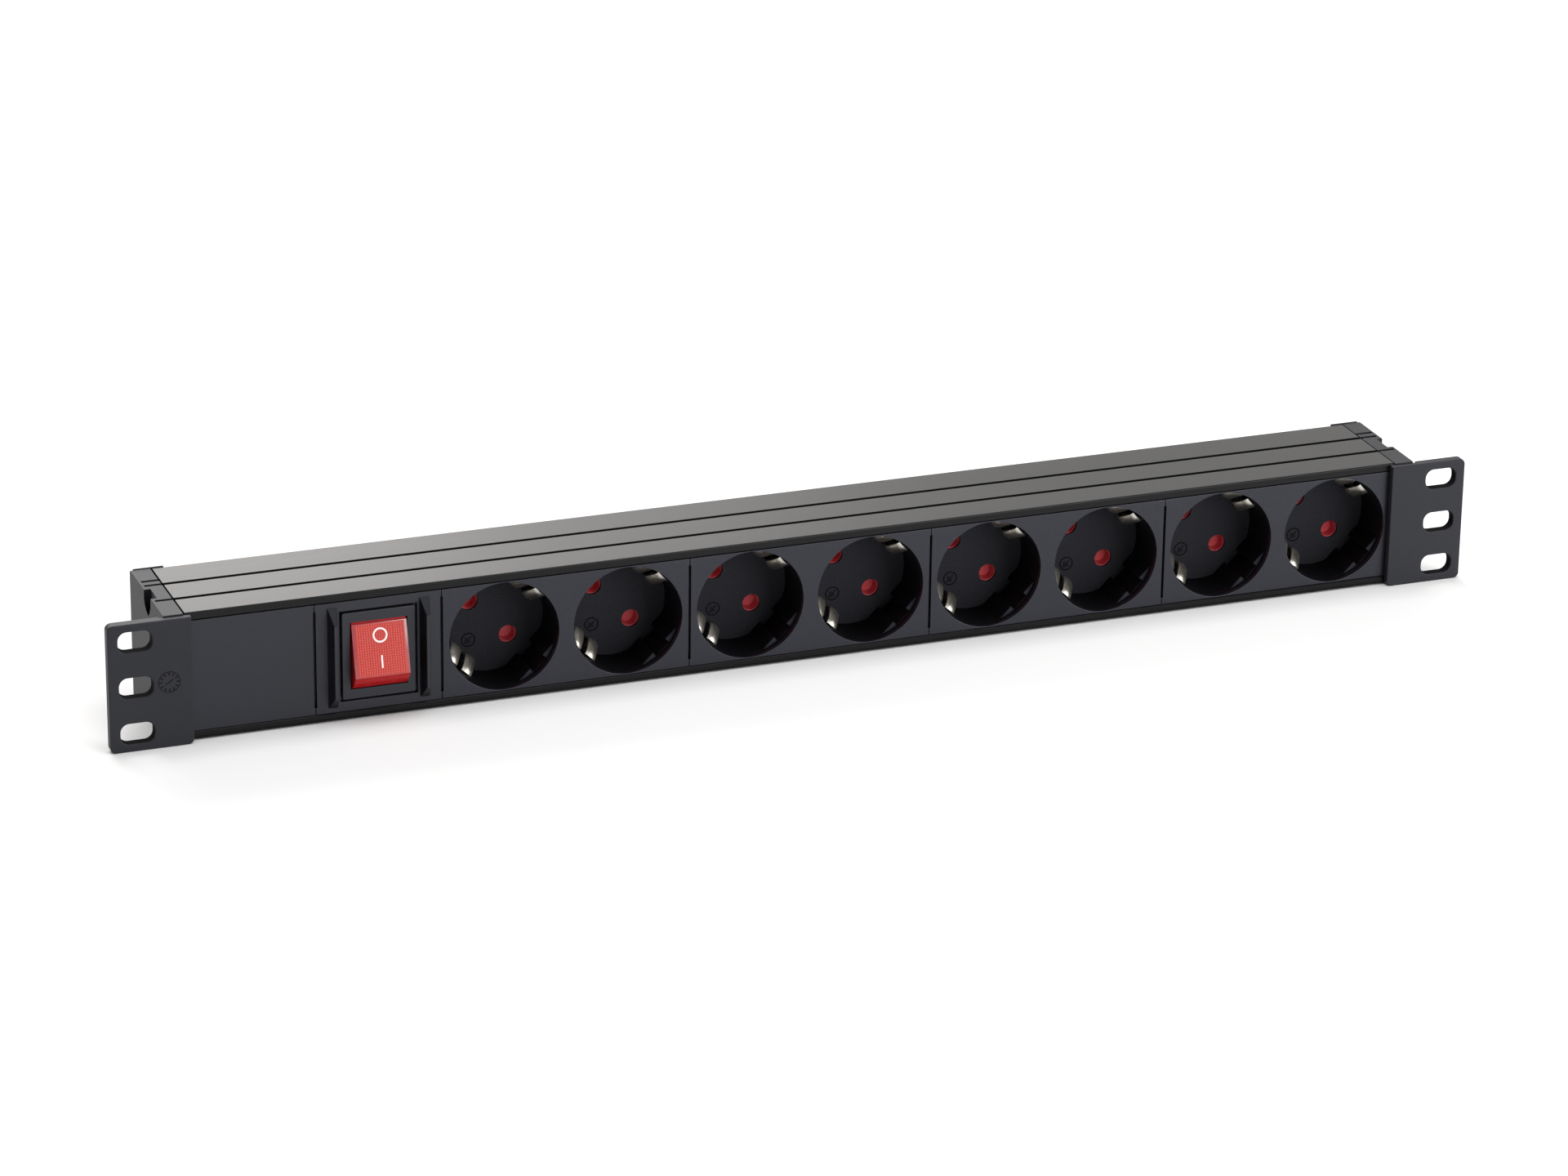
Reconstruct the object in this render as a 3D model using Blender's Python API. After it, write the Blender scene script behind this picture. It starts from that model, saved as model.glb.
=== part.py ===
import math

import bmesh
import bpy

for old in list(bpy.data.objects):
    bpy.data.objects.remove(old)

# Sizes are in millimetres. Depth is counted from the front of the rack ears to the back,
# height from the bottom edge of the ears, and length from the middle of the strip.

# Overall rack sizes
RACK_WIDTH = 482.6
EAR_HEIGHT = 44.2
EAR_THICK = 2.6
EAR_REACH = 26.3
EAR_LAP = 1.5
EAR_CORNER = 2.0
SLOT_MARGIN = 9.1
SLOT_PITCH = 15.875
SLOT_LENGTH = 11.8
SLOT_HEIGHT = 7.1
SLOT_CORNER = 3.2
TOTAL_DEPTH = 45.0

# Extruded channel
PROFILE_BOTTOM = 0.3
PROFILE_HEIGHT = 44.4
PROFILE_FRONT = 2.7
REAR_LIP = 1.0
PROFILE_WALL = 1.8
PROFILE_CHAMFER = 0.4
LIP_DEPTH = 1.6
LIP_OPENING = 38.9
GROOVE_DEPTHS = (15.6, 29.3)
GROOVE_WIDTH = 0.8
GROOVE_CUT = 0.5

# Clearances between neighbouring pieces
FIT = 0.15
SEAT = 0.2

# Modules in the front opening
MODULE_PITCH = 43.0
MODULE_FACE = 2.8
MODULE_FLANGE = 4.45
MODULE_BACK = 6.45
MODULE_HALF_HEIGHT = 19.25
FLANGE_HALF_HEIGHT = 20.1
MODULE_GAP = 0.4
NUB_GAP = 0.1
NUB_HEIGHT = 2.5
BLANK_RIB_OFFSET = 10.0
BLANK_RIB_WIDTH = 1.6
BLANK_RIB_HEIGHT = 30.0
BLANK_RIB_DEPTH = 5.0

# Sockets
WELL_RADIUS = 18.9
WELL_FLOOR = 20.2
FLOOR_THICK = 0.8
GUIDE_TOP = 6.0
GUIDE_CHORD = 16.8
GUIDE_SLOT = 3.0
WELL_DRAFT = 0.1
CUP_WALL = 1.1
PIN_OFFSET = 9.5
PIN_RADIUS = 2.4
PIN_HOLE = 3.1
BOSS_RADIUS = 1.9
BOSS_BACK = 24.9

# Shutters
SHUTTER_FRONT = 21.25
SHUTTER_THICK = 3.2
SHUTTER_ARM = 3.6
SHUTTER_HUB = 4.6
DISH_RADIUS = 2.9
DISH_FLOOR = 1.7
DISH_DEPTH = 2.4

# Earth clips
CLIP_FRONT = 25.3
CLIP_THICK = 0.7
CLIP_REACH = 17.45
CLIP_NOSE = 16.5
CLIP_NOSE_DEPTH = 14.0
CLIP_TOP = 11.2
FINGER_INNER = 2.2
FINGER_OUTER = 5.2

# Bus bars and rear trays
BAR_FRONT = 28.0
BAR_THICK = 2.0
BAR_HALF_HEIGHT = 4.0
SLEEVE_RADIUS = 3.5
SLEEVE_SPACE = 3.0
BAR_OVERHANG = 9.0
EARTH_BAR_THICK = 0.8
EARTH_BAR_HALF = 3.0
TRAY_END = 6.5
TRAY_HALF_HEIGHT = 19.9
TRAY_SPACE = 0.6
TRAY_WALL = 1.6

# Switch
BEZEL_WIDTH = 25.0
BEZEL_HEIGHT = 30.3
BEZEL_FRONT = 2.4
BEZEL_BACK = 4.6
BEZEL_GAP = 0.7
SWITCH_BODY_WIDTH = 21.6
SWITCH_BODY_HEIGHT = 28.6
SWITCH_BACK = 27.0
CAVITY_BACK = 19.0
ROCKER_WIDTH = 18.7
ROCKER_PIVOT = 10.0
ROCKER_FACE = 10.3
ROCKER_MARGIN = 0.6
SWING_GAP = 0.25
HOUSING_WALL = 1.25
ROCKER_TILT = 11.5
ROCKER_END = 56.0
ROCKER_CLEAR = 0.35
LENS_THICK = 0.9
RIB_OFFSET = 15.3
RIB_WIDTH = 1.5
RIB_RISE = 4.7
RIB_LENGTH = 35.2
BLADE_WIDTH = 6.3
BLADE_THICK = 0.8
BLADE_SPACE = 7.2
BLADE_SPACING_X = 10.0
BLADE_SPACING_Z = 14.0
LAMP_RADIUS = 1.4
LAMP_LENGTH = 8.0

# End caps
CAP_LENGTH = 7.3
CAP_LIP_LAP = 4.0
CAP_WALL = 2.0
PLUG_LAP = 6.0
PLUG_FRONT = 9.0
POCKET_FRONT = 6.0
SLIT_WIDTH = 0.5
SLIT_CUT = 1.0
SLIT_DEPTHS = (32.5, 28.7, 17.0, 14.7)
SCOOP_CUT = 2.2
SCOOP_DROP = 8.0

# Cable entry and wiring
ENTRY_FROM_END = 21.5
ENTRY_HEIGHT = 14.0
ENTRY_RADIUS = 8.0
ENTRY_BORE = 5.0
ENTRY_FLANGE = 9.6
NUT_RADIUS = 11.0
LEAD_RADIUS = 1.3
LEAD_START = 14.5
LEAD_START_SPACE = 5.2
LIVE_START = 20.0
NEUTRAL_START = 12.0
FEED_BEND = 19.5
OUT_BEND = 17.5
OUT_RUN = 3.3
EARTH_START = 1.2
EARTH_BEND = 12.0
EARTH_RUN_DEPTH = 31.0
EARTH_RISE = 10.0
SCREW_RADIUS = 1.9
SCREW_HEAD = 3.6
SCREW_OFFSET = 7.5
SCREW_DEPTH = 24.0

# Places worked out from the sizes above
PROFILE_LENGTH = RACK_WIDTH - 2 * EAR_REACH
PROFILE_BACK = TOTAL_DEPTH - REAR_LIP
EAR_INNER_X = PROFILE_LENGTH / 2 - EAR_LAP
SLOT_SPACING = RACK_WIDTH - 2 * SLOT_MARGIN
CAP_OUTER = PROFILE_LENGTH / 2 + CAP_LENGTH
CAP_LIP_INNER = PROFILE_LENGTH / 2 - CAP_LIP_LAP
PLUG_INNER = PROFILE_LENGTH / 2 - PLUG_LAP
MIDDLE = PROFILE_BOTTOM + PROFILE_HEIGHT / 2
PROFILE_TOP = PROFILE_BOTTOM + PROFILE_HEIGHT
INSIDE_BOTTOM = PROFILE_BOTTOM + PROFILE_WALL
INSIDE_TOP = PROFILE_TOP - PROFILE_WALL
INSIDE_BACK = PROFILE_BACK - PROFILE_WALL
FLOOR_BACK = WELL_FLOOR + FLOOR_THICK
ROCKER_RADIUS = SWITCH_BODY_HEIGHT / 2 - ROCKER_MARGIN
TRAY_BACK = INSIDE_BACK - TRAY_SPACE
SLEEVE_BACK = TRAY_BACK - TRAY_WALL - SLEEVE_SPACE
BLADE_BACK = INSIDE_BACK - BLADE_SPACE
TWIN_LENGTH = 2 * MODULE_PITCH
TWIN_COUNT = int((PROFILE_LENGTH - TWIN_LENGTH) / TWIN_LENGTH + 1e-6)
BLANK_LENGTH = PROFILE_LENGTH - MODULE_PITCH - TWIN_COUNT * TWIN_LENGTH
BLANK_X = (BLANK_LENGTH - PROFILE_LENGTH) / 2
SWITCH_X = BLANK_X + (BLANK_LENGTH + MODULE_PITCH) / 2
ENTRY_X = ENTRY_FROM_END - PROFILE_LENGTH / 2
SCREW_X = ENTRY_X + SCREW_OFFSET
SWITCH_Z = MIDDLE
SOCKETS = [SWITCH_X + MODULE_PITCH * (1 + k) for k in range(2 * TWIN_COUNT)]
TWINS = [(SOCKETS[2 * k] + SOCKETS[2 * k + 1]) / 2 for k in range(TWIN_COUNT)]
DEPTH_MIDDLE = (TOTAL_DEPTH + MODULE_FACE - RIB_RISE) / 2
PIN_STEP = PIN_OFFSET / math.sqrt(2)


def solid(name, points, faces):
    """One closed mesh object from points in millimetres, with its faces turned outwards."""
    mesh = bpy.data.meshes.new(name)
    moved = [(x / 1000, (y - DEPTH_MIDDLE) / 1000, z / 1000) for x, y, z in points]
    mesh.from_pydata(moved, [], faces)
    shape = bmesh.new()
    shape.from_mesh(mesh)
    bmesh.ops.recalc_face_normals(shape, faces=shape.faces)
    shape.to_mesh(mesh)
    shape.free()
    item = bpy.data.objects.new(name, mesh)
    bpy.context.scene.collection.objects.link(item)
    return item


def loft(name, first, second):
    """A solid between two outlines with the same number of points."""
    count = len(first)
    faces = [list(range(count)), list(range(2 * count - 1, count - 1, -1))]
    for k in range(count):
        n = (k + 1) % count
        faces.append([k, n, count + n, count + k])
    return solid(name, list(first) + list(second), faces)


def along_x(name, outline, start, end):
    """A bar of (depth, height) outline running along the length."""
    return loft(name, [(start, y, z) for y, z in outline], [(end, y, z) for y, z in outline])


def along_y(name, outline, start, end):
    """A plate of (length, height) outline running into the depth."""
    return loft(name, [(x, start, z) for x, z in outline], [(x, end, z) for x, z in outline])


def along_z(name, outline, start, end):
    """A post of (length, depth) outline running upwards."""
    return loft(name, [(x, y, start) for x, y in outline], [(x, y, end) for x, y in outline])


def rectangle(a0, a1, b0, b1):
    return [(a0, b0), (a1, b0), (a1, b1), (a0, b1)]


def circle(a, b, radius, count):
    turn = 2 * math.pi / count
    return [(a + radius * math.cos(turn * k), b + radius * math.sin(turn * k)) for k in range(count)]


def rounded(a0, a1, b0, b1, radii, steps=4):
    """A rectangle with rounded corners. The radii go round from the low corner."""
    corners = ((a0, b0, 1, 1, 180), (a1, b0, -1, 1, 270), (a1, b1, -1, -1, 0), (a0, b1, 1, -1, 90))
    points = []
    for (a, b, sa, sb, first), radius in zip(corners, radii):
        if radius == 0:
            points.append((a, b))
            continue
        for k in range(steps + 1):
            angle = math.radians(first + 90 * k / steps)
            points.append(
                (a + sa * radius + radius * math.cos(angle), b + sb * radius + radius * math.sin(angle))
            )
    return points


def turned(outline, x):
    """Socket outlines are drawn along the pin line, which falls at 45 degrees to the right."""
    half = math.sqrt(0.5)
    return [(x + half * (u + v), MIDDLE + half * (v - u)) for u, v in outline]


def cut(item, tool):
    tool.hide_render = True
    tool.display_type = "WIRE"
    step = item.modifiers.new("cut_" + tool.name, "BOOLEAN")
    step.operation = "DIFFERENCE"
    step.solver = "EXACT"
    step.object = tool


def add(item, tool):
    tool.hide_render = True
    tool.display_type = "WIRE"
    step = item.modifiers.new("add_" + tool.name, "BOOLEAN")
    step.operation = "UNION"
    step.solver = "EXACT"
    step.object = tool


def origin(item, x, y, z):
    """Moves the object's own origin to a place without moving its shape."""
    place = (x / 1000, (y - DEPTH_MIDDLE) / 1000, z / 1000)
    for vertex in item.data.vertices:
        vertex.co = [vertex.co[k] - place[k] for k in range(3)]
    item.location = place


def finish(item, name, colour, metallic, roughness):
    surface = bpy.data.materials.get(name) or bpy.data.materials.new(name)
    surface.use_nodes = True
    shader = surface.node_tree.nodes["Principled BSDF"]
    shader.inputs["Base Color"].default_value = (*colour, 1)
    shader.inputs["Metallic"].default_value = metallic
    shader.inputs["Roughness"].default_value = roughness
    item.data.materials.append(surface)


BLACK = (0.035, 0.036, 0.039)


# Extruded aluminium channel, cut to length
def grooved(height, rise):
    points = []
    for depth in GROOVE_DEPTHS:
        points.append((depth - GROOVE_WIDTH / 2, height))
        points.append((depth, height + rise))
        points.append((depth + GROOVE_WIDTH / 2, height))
    return points


lip_low = MIDDLE - LIP_OPENING / 2
lip_high = MIDDLE + LIP_OPENING / 2
lip_back = PROFILE_FRONT + LIP_DEPTH
edge = PROFILE_CHAMFER
section = [(PROFILE_FRONT, PROFILE_BOTTOM + edge), (PROFILE_FRONT + edge, PROFILE_BOTTOM)]
section += grooved(PROFILE_BOTTOM, GROOVE_CUT)
section += [(PROFILE_BACK - edge, PROFILE_BOTTOM), (PROFILE_BACK, PROFILE_BOTTOM + edge)]
section += [(PROFILE_BACK, PROFILE_TOP - edge), (PROFILE_BACK - edge, PROFILE_TOP)]
section += reversed(grooved(PROFILE_TOP, -GROOVE_CUT))
section += [(PROFILE_FRONT + edge, PROFILE_TOP), (PROFILE_FRONT, PROFILE_TOP - edge)]
section += [(PROFILE_FRONT, lip_high), (lip_back, lip_high), (lip_back, INSIDE_TOP)]
section += [(INSIDE_BACK, INSIDE_TOP), (INSIDE_BACK, INSIDE_BOTTOM)]
section += [(lip_back, INSIDE_BOTTOM), (lip_back, lip_low), (PROFILE_FRONT, lip_low)]
profile = along_x("profile", section, -PROFILE_LENGTH / 2, PROFILE_LENGTH / 2)
entry_hole = circle(ENTRY_X, ENTRY_HEIGHT, ENTRY_RADIUS + SEAT, 32)
cut(profile, along_y("profile_entry", entry_hole, INSIDE_BACK - 1, PROFILE_BACK + 1))
screw_hole = circle(SCREW_X, SCREW_DEPTH, SCREW_RADIUS + SEAT, 16)
cut(profile, along_z("profile_screw", screw_hole, PROFILE_BOTTOM - 1, INSIDE_BOTTOM + 1))
finish(profile, "anodised_aluminium", BLACK, 0.6, 0.4)


# Moulded end caps, each with a slotted rack ear
def end_cap(name, side):
    ear = rounded(
        EAR_INNER_X, RACK_WIDTH / 2, 0, EAR_HEIGHT, (EAR_CORNER, EAR_CORNER, EAR_CORNER, 0)
    )
    cap = along_y(name, [(side * x, z) for x, z in ear], 0, EAR_THICK)
    body = rounded(EAR_THICK - 0.1, TOTAL_DEPTH - 0.05, PROFILE_BOTTOM, PROFILE_TOP, (0, 1, 1, 0))
    joint = PROFILE_LENGTH / 2 + FIT
    add(cap, along_x(name + "_body", body, side * joint, side * CAP_OUTER))
    lip_outline = rectangle(side * CAP_LIP_INNER, side * (CAP_OUTER - 1), 0.6, PROFILE_TOP + 0.25)
    add(cap, along_y(name + "_lip", lip_outline, PROFILE_BACK + FIT, TOTAL_DEPTH))
    plug_low = INSIDE_BOTTOM + SEAT
    plug_high = INSIDE_TOP - SEAT
    plug_back = INSIDE_BACK - SEAT
    walls = (
        rectangle(PLUG_FRONT, plug_back, plug_low, plug_low + CAP_WALL),
        rectangle(PLUG_FRONT, plug_back, plug_high - CAP_WALL, plug_high),
        rectangle(plug_back - CAP_WALL, plug_back, plug_low, plug_high),
    )
    for number, wall in enumerate(walls):
        plug = along_x(f"{name}_plug_{number}", wall, side * PLUG_INNER, side * (joint + 1))
        add(cap, plug)
    pocket = rectangle(POCKET_FRONT, plug_back - CAP_WALL, plug_low + CAP_WALL, plug_high - CAP_WALL)
    cut(cap, along_x(name + "_pocket", pocket, side * (joint - 1), side * (CAP_OUTER - CAP_WALL)))
    for row in (-1, 0, 1):
        height = EAR_HEIGHT / 2 + row * SLOT_PITCH
        middle = side * SLOT_SPACING / 2
        half = SLOT_LENGTH / 2
        low = height - SLOT_HEIGHT / 2
        slot = rounded(middle - half, middle + half, low, low + SLOT_HEIGHT, [SLOT_CORNER] * 4)
        cut(cap, along_y(f"{name}_slot_{row + 2}", slot, -1, EAR_THICK + 1))
    for number, depth in enumerate(SLIT_DEPTHS):
        slit = rectangle(side * (joint - 1), side * (CAP_OUTER - 0.8), depth, depth + SLIT_WIDTH)
        cut(cap, along_z(f"{name}_slit_{number}", slit, PROFILE_TOP - SLIT_CUT, PROFILE_TOP + 1))
    low_edge = SLIT_DEPTHS[2] + 1.0
    high_edge = SLIT_DEPTHS[1] - 2.2
    tip = (low_edge + high_edge) / 2 - 1.0
    top = PROFILE_TOP + 1
    wide = [(low_edge, top), (high_edge, top), (high_edge, PROFILE_TOP - 0.5 * SCOOP_DROP)]
    wide += [(tip, PROFILE_TOP - SCOOP_DROP), (low_edge, PROFILE_TOP - 0.5 * SCOOP_DROP)]
    cut(cap, along_x(name + "_scoop", wide, side * (CAP_OUTER - SCOOP_CUT), side * (CAP_OUTER + 1)))
    finish(cap, "cap_plastic", BLACK, 0, 0.45)
    return cap


left_end_cap = end_cap("left_end_cap", -1)
right_end_cap = end_cap("right_end_cap", 1)


# Front plates share one outline, with small corner nubs that meet the neighbours
def front_plate(name, x, length):
    outer = length / 2 - NUB_GAP
    inner = length / 2 - MODULE_GAP
    high = MODULE_HALF_HEIGHT
    nub = MODULE_HALF_HEIGHT - NUB_HEIGHT
    right = [(outer, -high), (outer, -nub), (inner, -nub), (inner, nub), (outer, nub), (outer, high)]
    outline = right + [(-a, -b) for a, b in right]
    plate = along_y(name, [(x + a, MIDDLE + b) for a, b in outline], MODULE_FACE, MODULE_FLANGE + FIT)
    low = MIDDLE - FLANGE_HALF_HEIGHT
    flange = rectangle(x - outer, x + outer, low, MIDDLE + FLANGE_HALF_HEIGHT)
    add(plate, along_y(name + "_flange", flange, MODULE_FLANGE, MODULE_BACK))
    return plate


# Blank plate, with two stiffening ribs behind it
blank_plate = front_plate("blank_plate", BLANK_X, BLANK_LENGTH)
for number, side in enumerate((-1, 1)):
    low_x = BLANK_X + side * BLANK_RIB_OFFSET - BLANK_RIB_WIDTH / 2
    low_z = MIDDLE - BLANK_RIB_HEIGHT / 2
    rib = rectangle(low_x, low_x + BLANK_RIB_WIDTH, low_z, low_z + BLANK_RIB_HEIGHT)
    add(blank_plate, along_y(f"blank_rib_{number}", rib, MODULE_BACK - 0.5, MODULE_BACK + BLANK_RIB_DEPTH))
finish(blank_plate, "plate_plastic", BLACK, 0, 0.5)

# Switch plate, with a sunk seat for the switch and a guard rib at each side
switch_frame = front_plate("switch_frame", SWITCH_X, MODULE_PITCH)
half_width = BEZEL_WIDTH / 2 + BEZEL_GAP
half_height = BEZEL_HEIGHT / 2 + BEZEL_GAP
seat = rectangle(SWITCH_X - half_width, SWITCH_X + half_width, SWITCH_Z - half_height, SWITCH_Z + half_height)
cut(switch_frame, along_y("switch_seat", seat, MODULE_FACE - 1, BEZEL_BACK + SEAT))
half_width = SWITCH_BODY_WIDTH / 2 + SEAT
half_height = SWITCH_BODY_HEIGHT / 2 + SEAT
hole = rectangle(SWITCH_X - half_width, SWITCH_X + half_width, SWITCH_Z - half_height, SWITCH_Z + half_height)
cut(switch_frame, along_y("switch_hole", hole, MODULE_FACE - 1, MODULE_BACK + 1))
for number, side in enumerate((-1, 1)):
    middle = SWITCH_X + side * RIB_OFFSET
    long = RIB_LENGTH / 2
    base = [(middle + a, MODULE_FACE + 0.3, MIDDLE + b) for a, b in rectangle(-0.9, 0.9, -long, long)]
    half = RIB_WIDTH / 2
    short = long - RIB_RISE - 0.3
    tip = [(a, b) for a, b in rectangle(-half, half, -short, short)]
    crest = [(middle + a, MODULE_FACE - RIB_RISE, MIDDLE + b) for a, b in tip]
    add(switch_frame, loft(f"guard_rib_{number}", base, crest))
finish(switch_frame, "plate_plastic", BLACK, 0, 0.5)

# Rocker switch housing, a bezel with a box behind it and a curved opening for the rocker
half_width = BEZEL_WIDTH / 2
half_height = BEZEL_HEIGHT / 2
face = rounded(SWITCH_X - half_width, SWITCH_X + half_width, SWITCH_Z - half_height, SWITCH_Z + half_height,
               [0.6] * 4, 2)
switch_housing = along_y("switch_housing", face, BEZEL_FRONT, BEZEL_BACK)
half_width = SWITCH_BODY_WIDTH / 2
half_height = SWITCH_BODY_HEIGHT / 2
box = rectangle(SWITCH_X - half_width, SWITCH_X + half_width, SWITCH_Z - half_height, SWITCH_Z + half_height)
add(switch_housing, along_y("switch_box", box, BEZEL_BACK - 0.5, SWITCH_BACK))
swing = ROCKER_RADIUS + SWING_GAP
cavity_half = half_height - HOUSING_WALL
start = math.acos((ROCKER_PIVOT - BEZEL_FRONT + 1) / swing)
stop = math.asin(cavity_half / swing)
arc = []
for k in range(7):
    angle = start + (stop - start) * k / 6
    arc.append((ROCKER_PIVOT - swing * math.cos(angle), swing * math.sin(angle)))
cavity = arc + [(CAVITY_BACK, cavity_half), (CAVITY_BACK, -cavity_half)] + [(y, -z) for y, z in reversed(arc)]
cavity = [(y, SWITCH_Z + z) for y, z in cavity]
half = ROCKER_WIDTH / 2 + ROCKER_CLEAR
cut(switch_housing, along_x("switch_cavity", cavity, SWITCH_X - half, SWITCH_X + half))
pivot_hole = circle(ROCKER_PIVOT, SWITCH_Z, 1.5 + SEAT, 16)
cut(switch_housing, along_x("switch_pivot", pivot_hole, SWITCH_X - 15, SWITCH_X + 15))
blades = []
for row in (1, -1):
    for column in (-1, 1):
        blades.append((SWITCH_X + column * BLADE_SPACING_X / 2, SWITCH_Z + row * BLADE_SPACING_Z / 2))
for number, (x, z) in enumerate(blades):
    wide = BLADE_WIDTH / 2 + SEAT
    thin = BLADE_THICK / 2 + SEAT
    slot = rectangle(x - wide, x + wide, z - thin, z + thin)
    cut(switch_housing, along_y(f"switch_blade_slot_{number}", slot, SWITCH_BACK - 3, SWITCH_BACK + 1))
finish(switch_housing, "switch_plastic", BLACK, 0, 0.4)

for number, (x, z) in enumerate(blades):
    wide = BLADE_WIDTH / 2
    thin = BLADE_THICK / 2
    blade = rectangle(x - wide, x + wide, z - thin, z + thin)
    terminal = along_y(f"switch_terminal_{number + 1}", blade, SWITCH_BACK - 3 + SEAT, BLADE_BACK)
    finish(terminal, "tinned_brass", (0.72, 0.66, 0.5), 1, 0.35)

lamp_depth = CAVITY_BACK - FIT - LAMP_RADIUS
lamp_outline = circle(lamp_depth, SWITCH_Z, LAMP_RADIUS, 16)
neon_lamp = along_x("neon_lamp", lamp_outline, SWITCH_X - LAMP_LENGTH / 2, SWITCH_X + LAMP_LENGTH / 2)
finish(neon_lamp, "lamp_glass", (0.9, 0.55, 0.4), 0, 0.1)


# Rocker, drawn level and then turned to its off position about the pivot
def tilted(outline):
    turn = math.radians(-ROCKER_TILT)
    points = []
    for y, z in outline:
        depth = ROCKER_PIVOT + y * math.cos(turn) - z * math.sin(turn)
        points.append((depth, SWITCH_Z + y * math.sin(turn) + z * math.cos(turn)))
    return points


seat_plane = ROCKER_FACE - LENS_THICK - 0.1
first = math.acos(seat_plane / ROCKER_RADIUS)
last = math.radians(ROCKER_END)
side_arc = []
for k in range(7):
    angle = first + (last - first) * k / 6
    side_arc.append((-ROCKER_RADIUS * math.cos(angle), ROCKER_RADIUS * math.sin(angle)))
upper = side_arc + [(-1.0, 11.0), (3.2, 4.0)]
level = upper + [(y, -z) for y, z in reversed(upper)]
half = ROCKER_WIDTH / 2
rocker = along_x("rocker", tilted(level), SWITCH_X - half, SWITCH_X + half)
origin(rocker, SWITCH_X, ROCKER_PIVOT, SWITCH_Z)
pin = circle(ROCKER_PIVOT, SWITCH_Z, 1.5, 16)
add(rocker, along_x("rocker_pin", pin, SWITCH_X - half - 1.2, SWITCH_X + half + 1.2))
finish(rocker, "red_plastic", (0.6, 0.01, 0.02), 0, 0.25)

seat_plane = ROCKER_FACE - LENS_THICK
wide = math.sqrt(ROCKER_RADIUS**2 - seat_plane**2) - 0.05
narrow = math.sqrt(ROCKER_RADIUS**2 - ROCKER_FACE**2)
plate = [(-seat_plane, -wide), (-seat_plane, wide), (-ROCKER_FACE, narrow), (-ROCKER_FACE, -narrow)]
rocker_lens = along_x("rocker_lens", tilted(plate), SWITCH_X - half, SWITCH_X + half)
origin(rocker_lens, SWITCH_X, ROCKER_PIVOT, SWITCH_Z)
finish(rocker_lens, "lens_plastic", (0.85, 0.35, 0.3), 0, 0.2)


# Twin socket mouldings
def well_outline(x):
    radius = WELL_RADIUS - WELL_DRAFT
    reach = math.sqrt(radius**2 - GUIDE_CHORD**2)
    out = math.sqrt(radius**2 - GUIDE_SLOT**2)
    first = math.atan2(reach, GUIDE_CHORD)
    points = [(GUIDE_CHORD, -GUIDE_SLOT), (out, -GUIDE_SLOT), (out, GUIDE_SLOT), (GUIDE_CHORD, GUIDE_SLOT)]
    for k in range(14):
        angle = first + (math.pi - 2 * first) * k / 13
        points.append((radius * math.cos(angle), radius * math.sin(angle)))
    points += [(-u, -v) for u, v in points]
    return turned(points, x)


for twin, x in enumerate(TWINS):
    name = f"socket_face_{twin + 1}"
    moulding = front_plate(name, x, TWIN_LENGTH)
    pair = SOCKETS[2 * twin : 2 * twin + 2]
    for k, centre in enumerate(pair):
        most = TWIN_LENGTH / 2 - NUB_GAP
        cup = circle(centre, MIDDLE, WELL_RADIUS + CUP_WALL, 40)
        cup = [(min(max(a, x - most), x + most), b) for a, b in cup]
        add(moulding, along_y(f"{name}_cup_{k}", cup, MODULE_BACK - 0.5, FLOOR_BACK))
    for k, centre in enumerate(pair):
        mouth = circle(centre, MIDDLE, WELL_RADIUS, 40)
        cut(moulding, along_y(f"{name}_mouth_{k}", mouth, MODULE_FACE - 1, GUIDE_TOP))
        cut(moulding, along_y(f"{name}_well_{k}", well_outline(centre), GUIDE_TOP - 0.5, WELL_FLOOR))
        boss = circle(centre, MIDDLE, BOSS_RADIUS, 16)
        add(moulding, along_y(f"{name}_boss_{k}", boss, FLOOR_BACK - 0.3, BOSS_BACK))
        for end in (-1, 1):
            hole = turned(circle(end * PIN_OFFSET, 0, PIN_HOLE, 20), centre)
            cut(moulding, along_y(f"{name}_pin_{k}_{end + 1}", hole, WELL_FLOOR - 1, FLOOR_BACK + 1))
            reach = CLIP_REACH + CLIP_THICK / 2 + 0.3
            slot = rectangle(-FINGER_OUTER - 0.4, FINGER_OUTER + 0.4, CLIP_NOSE, reach)
            slot = turned([(u, end * v) for u, v in slot], centre)
            cut(moulding, along_y(f"{name}_clip_{k}_{end + 1}", slot, WELL_FLOOR - 1, FLOOR_BACK + 1))
    finish(moulding, "socket_plastic", BLACK, 0, 0.45)

# Rear trays, one behind each twin socket
for twin, x in enumerate(TWINS):
    low = MIDDLE - TRAY_HALF_HEIGHT
    high = MIDDLE + TRAY_HALF_HEIGHT
    front = FLOOR_BACK + 0.3
    inner = TRAY_BACK - TRAY_WALL
    tray_half = TWIN_LENGTH / 2 - TRAY_END
    outline = [(front, low), (TRAY_BACK, low), (TRAY_BACK, high), (front, high)]
    outline += [(front, high - TRAY_WALL), (inner, high - TRAY_WALL)]
    outline += [(inner, low + TRAY_WALL), (front, low + TRAY_WALL)]
    tray = along_x(f"socket_base_{twin + 1}", outline, x - tray_half, x + tray_half)
    finish(tray, "tray_plastic", (0.6, 0.6, 0.58), 0, 0.5)

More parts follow.
